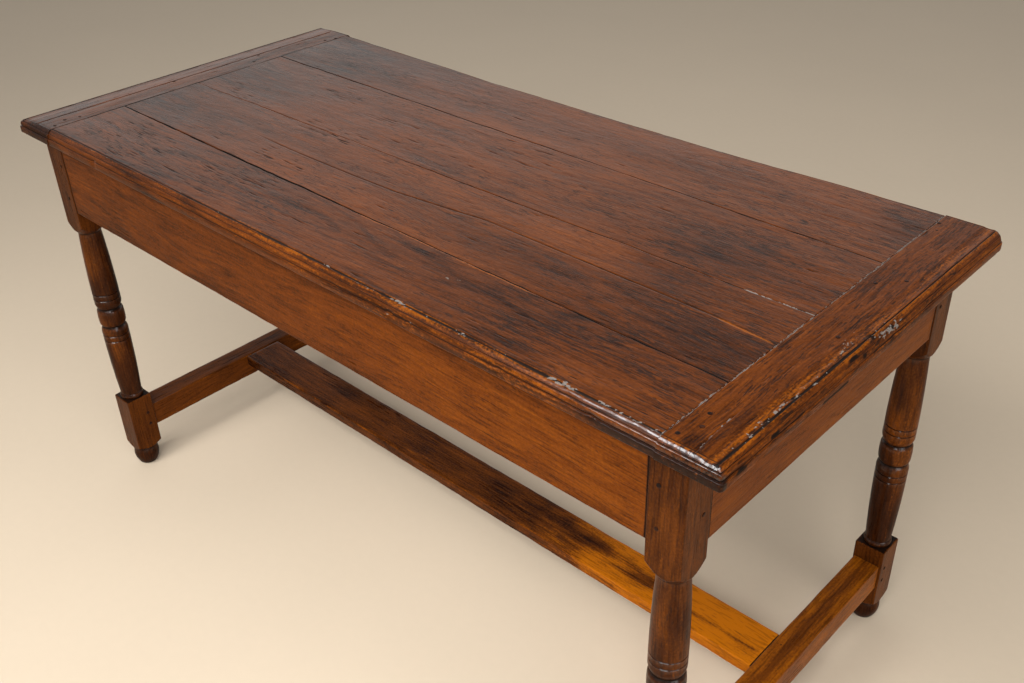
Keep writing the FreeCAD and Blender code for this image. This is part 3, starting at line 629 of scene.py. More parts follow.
def weather_plank(board, index):
    """Wear of one plank: cupping, joints, checks, the long split, stains and pale dust at the right end."""
    shape = board.shape
    run, across = board.run, board.across
    plan = board.world()
    waves = 0.5 * drift(plan, (0.22, 0.05, 1.0), 40 + index)
    waves = waves + 0.25 * drift(plan, (0.07, 0.016, 1.0), 50 + index)
    board.sink(shape.cupping * (0.75 + waves))
    inside_joint = ramp(board.depth, shape.arris * 0.4, shape.arris)
    broken = np.clip(0.85 + 0.6 * drift(plan, (0.03, 1.0, 1.0), 65), 0.35, 1.0)
    closed = 0.12 + 0.88 * ramp(run, -0.30, 0.02)
    for joint, from_joint in ((index - 1, board.from_low), (index, board.from_high)):
        if 0 <= joint < len(JOINT_DIRT):
            seen = broken * closed if joint == 1 else broken
            dirt = np.maximum(JOINT_DIRT[joint], inside_joint)
            board.mark("soil", ramp(from_joint, 0.0020, 0.0) * dirt * seen)
    if index == 0:
        bright = between(run, -0.02, 0.38, 0.04) * ramp(board.from_high, 0.0048, 0.0016)
        board.mark("wear", bright * (0.95 + 0.4 * drift(plan, (0.03, 1.0, 1.0), 61)))
        board.marks["soil"] *= 1.0 - bright * 0.9 * (1.0 - inside_joint)
    if index == 1:
        board.cut(LONG_SPLIT, 0.0014, shape.split_depth, 0.10)
        split_line = np.interp(run, *zip(*LONG_SPLIT))
        below = ramp(across, split_line, split_line - 0.02)
        board.shade(-0.08 * below * ramp(run, 0.10, 0.35))
        pale_split = scored(run, across, PALE_SPLIT, 0.0026, 0.01) * ramp(run, 0.55, 0.59)
        board.marks["soil"] *= 1.0 - np.clip(1.6 * pale_split, 0.0, 1.0)
        board.mark("wear", np.clip(1.8 * pale_split, 0.0, 1.2))
    board.checks(60, (board.span, (float(across.min()), float(across.max()))), 200 + index)
    if index == 0:
        board.checks(110, ((-0.62, -0.16), (-0.330, -0.215)), 210)
        board.checks(40, ((0.30, 0.66), (-0.330, -0.290)), 211)
    for place, (count, along, over) in enumerate(CHECK_CLUSTERS):
        board.checks(count, (along, over), 220 + place, 1.25)
    for x, y, reach in DEEP_CHECKS:
        path = ((x - reach, y + 0.001), (x, y), (x + reach, y - 0.0015))
        board.cut(path, 0.0016, shape.check_depth * 1.5, reach * 0.7, 0.9)
    for x, y, long, wide, strength in STAINS:
        board.shade(-strength * blot(run, across, (x, y), (long, wide)))
    board.shade(0.04 * drift(plan, (0.30, 0.06, 1.0), 70 + index) - 0.08 * ramp(run, 0.2, -0.5))
    if index == 0:
        board.shade(-0.05 - 0.08 * between(run, 0.04, 0.58, 0.18))
        board.shade(0.10 * blot(run, across, (-0.60, -0.30), (0.08, 0.04)))
    else:
        board.shade(-0.11 * ramp(run, -0.25, -0.62))
    clusters = 0.28 + 0.55 * drift(plan, (0.13, 0.035, 1.0), 80 + index)
    clusters = clusters + 0.3 * drift(plan, (0.04, 0.012, 1.0), 85)
    cracked_corner = between(run, -0.66, -0.16, 0.10) * ramp(across, -0.20, -0.25)
    dry_end = ramp(run, 0.25, 0.60)
    board.mark("checked", np.clip(clusters + 0.30 * cracked_corner + 0.40 * dry_end, 0.0, 1.0))
    for x, y, long, wide in PALE_SPECKS:
        board.mark("dust", 0.62 * blot(run, across, (x, y), (long, wide)) * board.near_top)
    dust_line = ramp(run, RIGHT_JOINT - 0.0018, RIGHT_JOINT - 0.0008) * board.near_top
    board.mark("dust", dust_line * np.clip(0.68 + 0.3 * drift(plan, (1.0, 0.03, 1.0), 75), 0.0, 1.0))
    board.mark("soil", ramp(run, LEFT_JOINT + 0.0025, LEFT_JOINT + 0.0006) * 0.9 * board.near_top)
    if index == 2:
        dusty = between(run, 0.55, 0.67, 0.01) * ramp(board.from_low, 0.0016, 0.0006)
        board.mark("dust", dusty * 0.66 * board.near_top)
    if index == 3:
        line_runs = np.linspace(LEFT_JOINT, RIGHT_JOINT, 40)
        line = worn_rear(line_runs) - shape.scored_line
        board.cut(tuple(zip(line_runs, line)), 0.0013, 0.0006, 0.001, 0.8)


def weather_front_edge(board):
    """Wear of the moulded front: amber wood, a dark line with grey crumbs, chips and thick old polish."""
    shape = board.shape
    plan = board.world()
    line = FRONT_EDGE + shape.scored_line
    thick = ramp(board.run, 0.47, 0.64)
    from_line = board.across - line
    caked = ramp(board.run, -0.45, 0.05) * (1.0 - 0.5 * thick)
    board.cake(from_line, caked, 0.25 + 0.35 * ramp(board.run, -0.05, 0.20), 94)
    amber = between(from_line, -0.009, 0.006, 0.004) * (1.0 - thick) * ramp(board.depth, 0.008, 0.002)
    board.mark("wear", amber * np.clip(0.62 + 0.5 * drift(plan, (0.05, 0.006, 0.004), 93), 0.0, 1.0))
    lip_top = board.lip_top
    bead = board.outside * between(board.depth, 0.0065, lip_top, 0.002)
    for x, reach, depth in FRONT_CHIPS:
        bite = blot(board.run, board.depth, (x, lip_top), (reach, 0.004)) * board.outside
        board.across = board.across + bite * depth
        board.mark("dust", bite * 0.45)
    above_lip = board.outside & (board.depth < lip_top)
    board.mark("polish", above_lip * (0.05 + 0.85 * thick))
    board.mark("polish", board.outside * 0.18 * thick)
    board.shade(-0.16 * thick * board.outside - 0.14 * thick * (board.depth >= lip_top))
    board.shade(0.05 * bead * (1.0 - thick))
    board.marks["checked"] *= 1.0 - 0.8 * board.outside
    board.marks["wear"] *= 1.0 - 0.75 * thick * board.outside
    board.marks["wear"] *= 0.20 + 0.70 * ramp(board.run, -0.30, 0.05)


def end_board(end, shape, material):
    """Board across one end, moulded on three sides, with rounded outer corners."""
    name = "end_board_" + end
    way = ENDS[end]
    low, high = box(name)
    runs = stations(low.y, high.y, END_BOARD_LINES, END_BOARD_STEPS)
    board = TopBoard(runs, END_BOARD_CELLS, shape)
    board.outer = high.x if way > 0 else low.x
    board.inner = low.x if way > 0 else high.x
    moulded = {"run_low", "run_high", "across_high" if way > 0 else "across_low"}
    rubbed = 0.8 - 0.3 * ramp(board.run, low.y + 0.05, low.y) if way > 0 else 0.5
    seed = 120 if way > 0 else 140
    board.lay(np.full(len(board.run), low.x), np.full(len(board.run), high.x), moulded, seed, rubbed)
    middle = (low.y + high.y) / 2
    from_middle = board.run - middle
    worn_corner = (from_middle > 0.0) & (end == "right")
    radius = np.where(worn_corner, shape.worn_corner_radius, shape.corner_radius)
    radius = np.clip(radius - board.inset, 0.002, None)
    past_run = np.abs(from_middle) - ((high.y - low.y) / 2 - board.inset - radius)
    past_edge = way * (board.across - board.outer) + board.inset + radius
    reach = np.hypot(past_run, past_edge)
    corner = (past_run > 0.0) & (past_edge > 0.0)
    pull = np.where(corner, np.maximum(past_run, past_edge) / np.where(corner, reach, 1.0), 1.0)
    board.run = np.where(corner, board.run - np.sign(from_middle) * past_run * (1.0 - pull), board.run)
    board.across = np.where(corner, board.across - way * past_edge * (1.0 - pull), board.across)
    board.soil_and_shade_moulding(moulded)
    weather_end_board(board, end, (low.y, high.y))
    board.finish_points(True)
    return board.put(name + "_timber", material, "top_wood", name, TOP_SHARP)


def weather_end_board(board, end, limits):
    """Wear of an end board: cupping, hollow edge, scored lines, checks, and what its end alone has."""
    shape = board.shape
    way = ENDS[end]
    plan = board.world()
    from_edge = np.abs(board.outer - board.across)
    from_joint = np.abs(board.across - board.inner)
    waves = drift(plan, (0.20, 0.04, 1.0), 150) * 0.5 + drift(plan, (0.06, 0.015, 1.0), 151) * 0.3
    board.sink(shape.cupping * (0.8 + waves))
    hollow = between(from_edge, shape.scored_line - 0.002, shape.scored_line + 0.020, 0.009) * board.near_top
    worn_hollow = shape.hollow_depth * (1.0 if end == "right" else 0.4)
    board.sink(worn_hollow * hollow * (0.75 + 0.35 * drift(plan, (0.15, 1.0, 1.0), 152)))
    line = board.outer - way * shape.scored_line
    caked = ramp(board.run, 0.05, -0.12) if end == "right" else 0.0 * board.run
    board.cake(way * (line - board.across), caked, 0.35 * caked, 167)
    for limit, side in zip(limits, SIDES.values()):
        rail = np.abs(board.run - (limit - side * shape.scored_line))
        groove = np.clip(1.0 - rail / 0.0015, 0.0, 1.0) * board.near_top
        board.sink(groove * 0.0006)
        board.mark("soil", groove * 0.8)
    board.checks(36, ((-0.33, 0.33), sorted((line, board.inner))), 160)
    joint = ramp(from_joint, 0.0020, 0.0006) * board.near_top
    ticked = 0.65 + 0.5 * drift(plan, (0.10, 0.03, 1.0), 153) + 0.3 * drift(plan, (0.04, 0.012, 1.0), 154)
    if end == "right":
        amber = hollow * (0.68 - 0.30 * ramp(board.run, -0.15, 0.25))
        board.mark("wear", np.clip(amber * (1.0 + 0.6 * drift(plan, (0.10, 0.02, 1.0), 155)), 0.0, 1.0))
        board.cut(RIGHT_CRACK, 0.0012, 0.0010, 0.02, 0.2)
        board.mark("dust", scored(board.run, board.across, RIGHT_CRACK, 0.0013, 0.02) * board.near_top * 0.6)
        board.mark("dust", joint * np.clip(0.66 + 0.3 * drift(plan, (0.03, 1.0, 1.0), 163), 0.0, 1.0))
        batter_edge(board, from_edge, plan)
        polish_corner(board, limits[0])
    else:
        board.sink(shape.droop * ramp(from_edge, 0.07, 0.0))
        board.marks["wear"] *= 0.15
        board.shade(-0.14 * board.outside)
        board.mark("soil", joint * 0.9)
        board.cut(LEFT_CRACK, 0.0015, 0.0012, 0.01, 0.7)
        ticked = ticked - 0.4
    board.mark("checked", np.clip(ticked, 0.0, 1.0))
    board.shade(0.06 * drift(plan, (0.12, 0.03, 1.0), 166))


def batter_edge(board, from_edge, plan):
    """Dents with dirt and pale crumbs along the outer edge of the right end board, and its dark patches."""
    battered = between(board.run, -0.34, -0.05, 0.04) * between(from_edge, 0.010, 0.026, 0.007)
    trail = scored(board.run, from_edge, CRUMB_TRAIL, 0.012, 0.02) * ramp(board.depth, 0.016, 0.010)
    corner = blot(board.run, from_edge, (0.325, 0.012), (0.022, 0.010))
    battered = np.maximum(battered, np.maximum(1.2 * trail, 0.8 * corner))
    bruised = np.clip(0.62 + 0.6 * drift(plan, (0.05, 0.012, 0.01), 165), 0.0, 1.0)
    dents = ramp(drift(plan, (0.014, 0.005, 0.01), 164), 0.10, 0.70)
    board.sink(battered * bruised * dents * 0.0014)
    board.mark("soil", battered * bruised * dents * 0.9)
    board.mark("dust", battered * bruised * 0.50)
    chipped = ramp(drift(plan, (0.022, 0.022, 0.007), 168), 0.45, 0.75) * ramp(board.run, 0.10, -0.05)
    board.mark("soil", chipped * board.outside * 0.9)
    for run, across, long, wide in CORNER_STAINS:
        board.shade(-0.26 * blot(board.run, board.across, (run, across), (long, wide)))


def polish_corner(board, front):
    """Thick dark polish on the moulding at the front corner of the right end board."""
    front_corner = ramp(board.run, front + 0.012, front + 0.008) * board.outside
    board.mark("polish", front_corner * np.where(board.depth < board.lip_top, 0.9, 0.20))
    board.shade(-0.16 * front_corner - 0.20 * front_corner * (board.depth >= board.lip_top))
    board.marks["wear"] *= 1.0 - 0.75 * front_corner


# Aprons, rails and stretchers

# How far the ends of rails and stretchers reach past the face that they meet.
JOINT_REACH = 0.0005

# Dark patches on the centre stretcher as (x, y, size along, size across).
STRETCHER_STAINS = ((0.30, 0.01, 0.10, 0.012), (0.43, 0.0, 0.05, 0.014), (0.52, -0.012, 0.14, 0.005))


def timber(limits, cells, radius, seed):
    """Squared timber between two corners, with eased arrises and a gently uneven planed surface."""
    low, high = np.array(limits[0]), np.array(limits[1])
    steps = (radius * 0.3, radius * 0.7, radius * 2.5)
    lines = [stations(low[axis], high[axis], cells[axis], steps) for axis in range(3)]
    piece = Carving(gridded_cube([len(spots) - 1 for spots in lines]))
    grid = np.column_stack([placed(piece.points[:, axis], lines[axis]) for axis in range(3)])
    soft = radius * (1.0 + 0.5 * drift(grid, 0.06, seed) + 0.35 * drift(grid, 0.015, seed + 1))
    soft = np.clip(soft, radius * 0.25, radius * 2.0)[:, None]
    core = np.clip(grid, low + soft, high - soft)
    reach = grid - core
    size = np.linalg.norm(reach, axis=1, keepdims=True)
    bent = (np.abs(reach) > 1e-9).sum(axis=1) > 1
    eased = core + reach / np.where(size > 0.0, size, 1.0) * soft
    piece.points = np.where(bent[:, None], eased, grid)
    from_arris = np.sort(np.minimum(grid - low, high - grid), axis=1)[:, 1]
    middle = (low + high) / 2
    wave = 0.0005 * (0.5 + 0.5 * drift(grid, 0.09, seed + 2))
    piece.points -= np.sign(grid - middle) * wave[:, None] * (np.abs(reach) > 0.0) * (~bent)[:, None]
    rubbed = np.clip(0.30 + 0.7 * drift(grid, 0.05, seed + 3), 0.0, 1.0)
    piece.mark("wear", ramp(from_arris, 0.0017, 0.0003) * rubbed)
    piece.mark("checked", np.clip(0.25 + 0.5 * drift(grid, 0.12, seed + 4), 0.0, 1.0))
    return piece


def apron(side, material):
    name = "apron_" + side
    low, high = box(name)
    reach = LEG_LOW.x + JOINT_REACH
    limits = ((-reach, low.y, low.z), (reach, high.y, high.z))
    piece = timber(limits, (150, 8, 30), 0.0014, 300 if side == "front" else 320)
    points = piece.points
    piece.mark("soil", ramp(np.abs(points[:, 0]), LEG_LOW.x - 0.0022, LEG_LOW.x - 0.0004))
    # Painted shadow: the top of the apron is darkened under the overhang of the table top.
    piece.mark("soil", ramp(points[:, 2], UNDERSIDE - 0.003, UNDERSIDE) * 0.6)
    piece.shade(-0.10 * ramp(points[:, 2], low.z + 0.03, low.z))
    piece.shade(0.23 * ramp(points[:, 0], -0.3, 0.75) - 0.13)
    return piece.put(name + "_timber", material, "frame_wood", name)


def end_rail(end, material):
    name = "end_rail_" + end
    low, high = box(name)
    reach = LEG_LOW.y + JOINT_REACH
    limits = ((low.x, -reach, low.z), (high.x, reach, high.z))
    piece = timber(limits, (8, 76, 30), 0.0014, 340 if end == "left" else 360)
    points = piece.points
    piece.mark("soil", ramp(np.abs(points[:, 1]), LEG_LOW.y - 0.0022, LEG_LOW.y - 0.0004))
    # Painted shadow: the top of the end rail is darkened under the overhang of the table top.
    piece.mark("soil", ramp(points[:, 2], UNDERSIDE - 0.006, UNDERSIDE) * 0.7)
    return piece.put(name + "_timber", material, "frame_wood", name)


def end_stretcher(end, material):
    name = "end_stretcher_" + end
    low, high = box(name)
    reach = LEG_LOW.y + JOINT_REACH
    limits = ((low.x, -reach, low.z), (high.x, reach, high.z))
    piece = timber(limits, (22, 90, 18), 0.0022, 400 if end == "left" else 420)
    points = piece.points
    top = ramp(points[:, 2], high.z - 0.004, high.z - 0.001)
    line = np.abs(np.abs(points[:, 0]) - (max(abs(low.x), abs(high.x)) - 0.006))
    scribed = np.clip(1.0 - line / 0.0014, 0.0, 1.0) * top
    piece.points[:, 2] -= scribed * 0.0006
    piece.mark("soil", scribed * 0.8)
    piece.mark("soil", ramp(np.abs(points[:, 1]), LEG_LOW.y - 0.002, LEG_LOW.y - 0.0004))
    mid_streak = blot(points[:, 1], points[:, 0], (0.05, (low.x + high.x) / 2), (0.22, 0.010))
    piece.shade(-0.12 * mid_streak * top)
    piece.shade(0.08 if end == "right" else -0.10)
    return piece.put(name + "_timber", material, "stretcher_wood", name)


def centre_stretcher(material):
    name = "centre_stretcher"
    low, high = box(name)
    reach = box("end_stretcher_right")[0].x + JOINT_REACH
    piece = timber(((-reach, low.y, low.z), (reach, high.y, high.z)), (150, 44, 8), 0.0024, 440)
    points = piece.points
    piece.mark("soil", ramp(np.abs(points[:, 0]), reach - 0.0025, reach - 0.0006))
    mottled = drift(points, (0.045, 0.022, 0.02), 450) + 0.6 * drift(points, (0.018, 0.010, 0.01), 451)
    # Darker in the middle and lighter towards the right end: partly the wood's own colour, partly painted
    # shade where the middle reflects the dark underside of the table.
    piece.shade(0.58 * ramp(points[:, 0], 0.15, 0.45) - 0.18 + 0.15 * mottled * ramp(points[:, 0], 0.0, 0.30))
    for x, y, long, wide in STRETCHER_STAINS:
        piece.shade(-0.38 * blot(points[:, 0], points[:, 1], (x, y), (long, wide)))
    return piece.put(name + "_timber", material, "stretcher_wood", name)


# Legs

# Steps round the leg, their pull towards the square corners, and the angle from which an edge looks sharp.
LEG_STEPS = 144
LEG_CORNER_PULL = 0.12
LEG_SHARP = 30.0

# Swell of the shafts, of the shoulders and of the barrel, height of the barrel's ends, sinking of the necks.
SHAFT_SWELL = 0.0009
SHOULDER_SWELL = 0.0012
BARREL_END_SWELL = 0.0009
BARREL_SWELL = 0.0005
BARREL_END = 0.007
NECK_SINKING = 0.0006


def rise(start, goal, count, swell=0.0):
    """Points of an outline between two (radius, height) places, standing out by a swell."""
    points = []
    for step in range(1, count + 1):
        part = step / count
        radius = start[0] + (goal[0] - start[0]) * part + 4.0 * swell * part * (1.0 - part)
        points.append((radius, start[1] + (goal[1] - start[1]) * part))
    return points


def cut_line(leg, z):
    """Outline of a V-shaped line cut round a collar, starting at height z."""
    half = leg.line_width / 2
    return [(leg.full, z), (leg.full - leg.line_depth, z + half), (leg.full, z + leg.line_width)]


def cut_pair(leg, z):
    """Outline of the two lines cut round a collar, the lower one starting at height z."""
    upper = z + leg.line_spacing
    return cut_line(leg, z) + [(leg.full, (z + upper) / 2)] + cut_line(leg, upper)


def leg_outline(leg):
    """Outline of the turned leg as (radius, height), from the axis at the foot to the axis at the top."""
    corner = LEG_BLOCK * 0.72
    soft = leg.arris
    barrel_top = leg.waist + leg.barrel_height
    lower_shoulder = leg.waist - leg.shoulder
    upper_shoulder = barrel_top + leg.shoulder
    lower_lines = lower_shoulder - leg.line_offset - leg.line_spacing
    upper_lines = upper_shoulder + leg.line_offset
    outline = [(0.0, 0.0), (leg.foot_base * 0.5, 0.0)]
    foot_rise = leg.foot_radius - (leg.foot_base + leg.foot_neck) / 2
    outline += rise((leg.foot_base, 0.0), (leg.foot_neck, leg.foot_height), 14, foot_rise)
    outline += rise(outline[-1], (corner, leg.lower_block), 8)
    outline += rise(outline[-1], (corner, leg.lower_block_top - soft), 22)
    outline += [(corner, leg.lower_block_top - soft * 0.4), (corner, leg.lower_block_top)]
    outline += rise(outline[-1], (leg.slim, leg.lower_block_top), 4)
    outline += rise(outline[-1], (leg.slim, leg.ring_top), 8, leg.ring_radius - leg.slim)
    outline += rise(outline[-1], (leg.full, lower_lines - leg.line_offset), 26, SHAFT_SWELL)
    outline += cut_pair(leg, lower_lines) + [(leg.full, lower_shoulder)]
    outline += rise(outline[-1], (leg.waist_radius, leg.waist), 7, SHOULDER_SWELL)
    outline += [(leg.waist_radius - NECK_SINKING, leg.waist + leg.barrel_neck * 0.5)]
    outline += [(leg.waist_radius, leg.waist + leg.barrel_neck)]
    barrel_end = barrel_top - leg.barrel_neck
    barrel = leg.barrel_radius - 0.0004
    outline += rise(outline[-1], (barrel, leg.waist + leg.barrel_neck + BARREL_END), 6, BARREL_END_SWELL)
    outline += rise(outline[-1], (barrel, barrel_end - BARREL_END), 6, BARREL_SWELL)
    outline += rise(outline[-1], (leg.waist_radius, barrel_end), 6, BARREL_END_SWELL)
    outline += [(leg.waist_radius - NECK_SINKING, barrel_top - leg.barrel_neck * 0.5)]
    outline += [(leg.waist_radius, barrel_top)]
    outline += rise(outline[-1], (leg.full, upper_shoulder), 7, SHOULDER_SWELL)
    outline += cut_pair(leg, upper_lines)
    outline += rise(outline[-1], (leg.full, upper_shoulder + leg.collar), 3)
    outline += rise(outline[-1], (leg.slim, leg.pommel), 26, SHAFT_SWELL)
    outline += [(leg.pommel_radius, leg.pommel)]
    outline += rise(outline[-1], (corner, leg.post), 12)
    outline += rise(outline[-1], (corner, UNDERSIDE), 30)
    outline += [(LEG_BLOCK * 0.25, UNDERSIDE), (0.0, UNDERSIDE)]
    return outline


def spun(outline, steps):
    """Closed blank turned from an outline that starts and ends on the axis."""
    blank = bmesh.new()
    verts = [blank.verts.new((radius, 0.0, z)) for radius, z in outline]
    edges = [blank.edges.new(pair) for pair in zip(verts, verts[1:])]
    bmesh.ops.spin(blank, geom=verts + edges, axis=(0, 0, 1), cent=(0, 0, 0), dvec=(0, 0, 0),
                   angle=2 * math.pi, steps=steps, use_merge=True)
    bmesh.ops.remove_doubles(blank, verts=blank.verts, dist=1e-6)
    bmesh.ops.recalc_face_normals(blank, faces=blank.faces)
    return blank


def square_reach(angle, half, soft):
    """Distance from the axis to the side of a square post with rounded corners, at an angle."""
    large = np.maximum(np.abs(np.cos(angle)), np.abs(np.sin(angle)))
    small = np.minimum(np.abs(np.cos(angle)), np.abs(np.sin(angle)))
    flat = half / large
    middle = half - soft
    lead = (large + small) * middle
    bend = lead + np.sqrt(np.clip(lead ** 2 - 2 * middle ** 2 + soft ** 2, 0.0, None))
    return np.where(flat * small > middle, bend, flat)


def leg(side, end, sizes, material, seed):
    """Turned leg: a lathe outline cut back to the flats of its square blank where the blocks are."""
    name = "leg_" + side + "_" + end
    piece = Carving(spun(leg_outline(sizes), LEG_STEPS))
    x, y, z = piece.points.T
    radius = np.hypot(x, y)
    angle = np.arctan2(y, x)
    angle = angle + LEG_CORNER_PULL * np.sin(4.0 * angle)
    around = np.column_stack((np.cos(angle) * 0.03, np.sin(angle) * 0.03, z))
    soft = sizes.arris * np.clip(1.0 + 0.8 * drift(around, 0.05, seed), 0.3, 2.0)
    block_end = np.minimum(np.abs(z - sizes.lower_block_top), 1.0)
    half = LEG_BLOCK / 2 - np.clip(sizes.arris * 0.5 - block_end, 0.0, None)
    half = half - 0.0003 * (0.5 + 0.5 * drift(around, (0.02, 0.02, 0.08), seed + 1))
    limit = square_reach(angle, half, soft)
    wobble = 1.0 - 0.006 * (0.5 + 0.5 * drift(around, 0.04, seed + 2))
    turned = np.where(radius < limit, radius * wobble, limit)
    squared = radius >= limit
    place = Vector((ENDS[end] * LEG_X, SIDES[side] * LEG_Y, 0.0))
    piece.points = np.column_stack((place.x + turned * np.cos(angle), place.y + turned * np.sin(angle), z))
    outward = np.cos(angle - math.atan2(SIDES[side], ENDS[end]))
    # Painted shade: the front left leg is made a little darker, standing farther from the lights.
    piece.shade(-0.02 if name == "leg_front_left" else 0.0)
    # Painted light: the square faces that look out past the end of the table are made lighter, as if lit from
    # the side.
    piece.shade(0.12 * squared * ramp(np.cos(angle) * ENDS[end], 0.75, 0.95))
    weather_leg(piece, sizes, angle, outward, around, z, squared, seed)
    return piece.put(name + "_turned", material, "leg_wood", name, LEG_SHARP)


def weather_leg(piece, sizes, angle, outward, around, z, squared, seed):
    """Darkening in and about the sinkings of the turning, painted shadow at the top of the post under the
    table top, and rubbed arrises on the square blocks.
    """
    barrel_top = sizes.waist + sizes.barrel_height
    lower = sizes.waist - sizes.shoulder - sizes.line_offset + sizes.line_width / 2
    upper = barrel_top + sizes.shoulder + sizes.line_offset + sizes.line_width / 2
    sinkings = (
        (lower, 0.0011, 0.9), (lower - sizes.line_spacing, 0.0011, 0.9), (upper, 0.0011, 0.9),
        (upper + sizes.line_spacing, 0.0011, 0.9), (sizes.waist + sizes.barrel_neck / 2, 0.0046, 0.8),
        (barrel_top - sizes.barrel_neck / 2, 0.0046, 0.8), (sizes.lower_block_top, 0.003, 0.7),
        (sizes.ring_top, 0.0025, 0.5), (sizes.foot_height, 0.003, 0.6), (sizes.pommel, 0.0025, 0.7),
    )
    piece.mark("polish", np.where(squared, 0.05, 0.13))
    for height, reach, strength in sinkings:
        band = np.exp(-((z - height) / reach) ** 2) * ~squared
        piece.mark("soil", band * strength * (0.85 + 0.15 * drift(around, 0.02, seed + 4)))
        piece.mark("polish", np.exp(-((z - height + reach) / (1.4 * reach)) ** 2) * 0.55 * ~squared)
    near_corner = ramp(np.abs(np.sin(2.0 * angle)), 0.995, 0.9997) * squared
    rubbed = np.clip(0.55 + 0.6 * drift(around, 0.06, seed + 3), 0.0, 1.0)
    piece.mark("wear", near_corner * rubbed * (0.15 + 0.85 * ramp(outward, 0.5, 0.9)))
    piece.mark("checked", np.clip(0.15 + 0.4 * drift(around, (0.03, 0.03, 0.15), seed + 6), 0.0, 1.0))
    lower_block = ramp(z, sizes.ring_top + 0.03, sizes.ring_top)
    piece.shade(squared * (0.10 * ramp(z, sizes.pommel, sizes.post) + 0.18 * lower_block))
    collars = between(z, lower - sizes.collar - 0.06, upper + sizes.collar + 0.10, 0.06)
    piece.shade(~squared * (0.06 * ramp(z, upper, upper + 0.06) - 0.10 * ramp(z, lower - 0.03, lower - 0.10)))
    worn_round = np.clip(0.10 + drift(around, (0.025, 0.025, 0.07), seed + 5), -0.4, 1.0)
    piece.shade(worn_round * (0.12 + 0.22 * collars) * ~squared)
    piece.mark("wear", worn_round * 0.35 * collars * ~squared)
    # Painted shadow: the top of the post is darkened under the table top.
    piece.mark("soil", ramp(z, UNDERSIDE - 0.006, UNDERSIDE) * 0.8)
    piece.shade(-0.12 * ramp(z, 0.04, 0.0))


# Pegs

# Grain of the pegs in each group, which is also the way they are driven.
PEG_GRAINS = {
    "apron_pegs": "Y", "end_rail_pegs": "X", "stretcher_pegs": "X", "centre_stretcher_pegs": "Z",
    "end_board_pegs": "Z", "top_pegs": "Z",
}
PEG_SIDES = 10
PEG_DEPTH = 0.008
PEG_SHARP = 50.0


def islands(node):
    """Boxes, as low and high corners, of the separate solids in a node of the frame."""
    solids = bmesh.new()
    solids.from_mesh(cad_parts[node].data)
    bmesh.ops.remove_doubles(solids, verts=solids.verts, dist=1e-6)
    waiting = set(solids.verts)
    boxes = []
    while waiting:
        group = [waiting.pop()]
        for vert in group:
            for edge in vert.link_edges:
                other = edge.other_vert(vert)
                if other in waiting:
                    waiting.remove(other)
                    group.append(other)
        corners = np.array([vert.co - LEGS_MIDDLE for vert in group])
        boxes.append((corners.min(axis=0), corners.max(axis=0)))
    solids.free()
    return sorted(boxes, key=lambda box: tuple(box[0]))


def peg_heads(node):
    """Head centre, outward direction and radius of each peg in a node. A peg through a leg has two heads."""
    heads = []
    for low, high in islands(node):
        axis = int(np.argmax(high - low))
        reach = (high - low)[axis]
        centre = (low + high) / 2
        outward = np.zeros(3)
        outward[axis] = 1.0 if axis == 2 else np.sign(centre[axis])
        radius = np.delete(high - low, axis).mean() / 2
        heads.append((centre + outward * reach / 2, outward, radius))
        if reach > LEG_BLOCK:
            heads.append((centre - outward * reach / 2, -outward, radius))
    return heads


def riven_pegs(node, drop, material, seed):
    """Pegs split from straight wood: uneven many-sided shanks with a low crown on the head."""
    chance = np.random.default_rng(seed)
    group = bmesh.new()
    for head, outward, radius in peg_heads(node):
        before = set(group.verts)
        made = bmesh.ops.create_cone(group, cap_ends=True, segments=PEG_SIDES, radius1=radius * 0.96,
                                     radius2=radius * 0.94, depth=PEG_DEPTH)
        crown = [face for face in {f for v in made["verts"] for f in v.link_faces} if face.normal.z > 0.9]
        bmesh.ops.inset_region(group, faces=crown, thickness=radius * 0.22, depth=0.0002)
        bmesh.ops.inset_region(group, faces=crown, thickness=radius * 0.40, depth=0.0001)
        verts = [vert for vert in group.verts if vert not in before]
        stretch = chance.uniform(0.86, 1.0, 2)
        for vert in verts:
            vert.co.x *= stretch[0]
            vert.co.y *= stretch[1]
        spin = Matrix.Rotation(chance.uniform(0.0, math.pi), 4, "Z")
        tilt = Vector(outward).to_track_quat("Z", "Y").to_matrix().to_4x4()
        sunk = PEG_DEPTH / 2 + 0.0003 + drop * chance.uniform(0.5, 1.0)
        place = Matrix.Translation(Vector(head) - Vector(outward) * sunk)
        bmesh.ops.transform(group, matrix=place @ tilt @ spin, verts=verts)
    pegs = Carving(group)
    pegs.mark("soil", np.clip(0.42 + 0.4 * drift(pegs.points, 0.004, seed), 0.0, 0.7))
    return pegs.put(node + "_riven", material, "peg_wood", node, PEG_SHARP)


# Shader expressions

class Value:
    """A shader socket. Expressions on it add Math nodes to its material."""

    def __init__(self, shader, socket):
        self.shader = shader
        self.socket = socket

    def math(self, operation, first, second):
        return self.shader.node("Math", {"operation": operation}, {0: first, 1: second})

    def __add__(self, other):
        return self.math("ADD", self, other)

    def __radd__(self, other):
        return self.math("ADD", other, self)

    def __sub__(self, other):
        return self.math("SUBTRACT", self, other)

    def __rsub__(self, other):
        return self.math("SUBTRACT", other, self)

    def __mul__(self, other):
        return self.math("MULTIPLY", self, other)

    def __rmul__(self, other):
        return self.math("MULTIPLY", other, self)


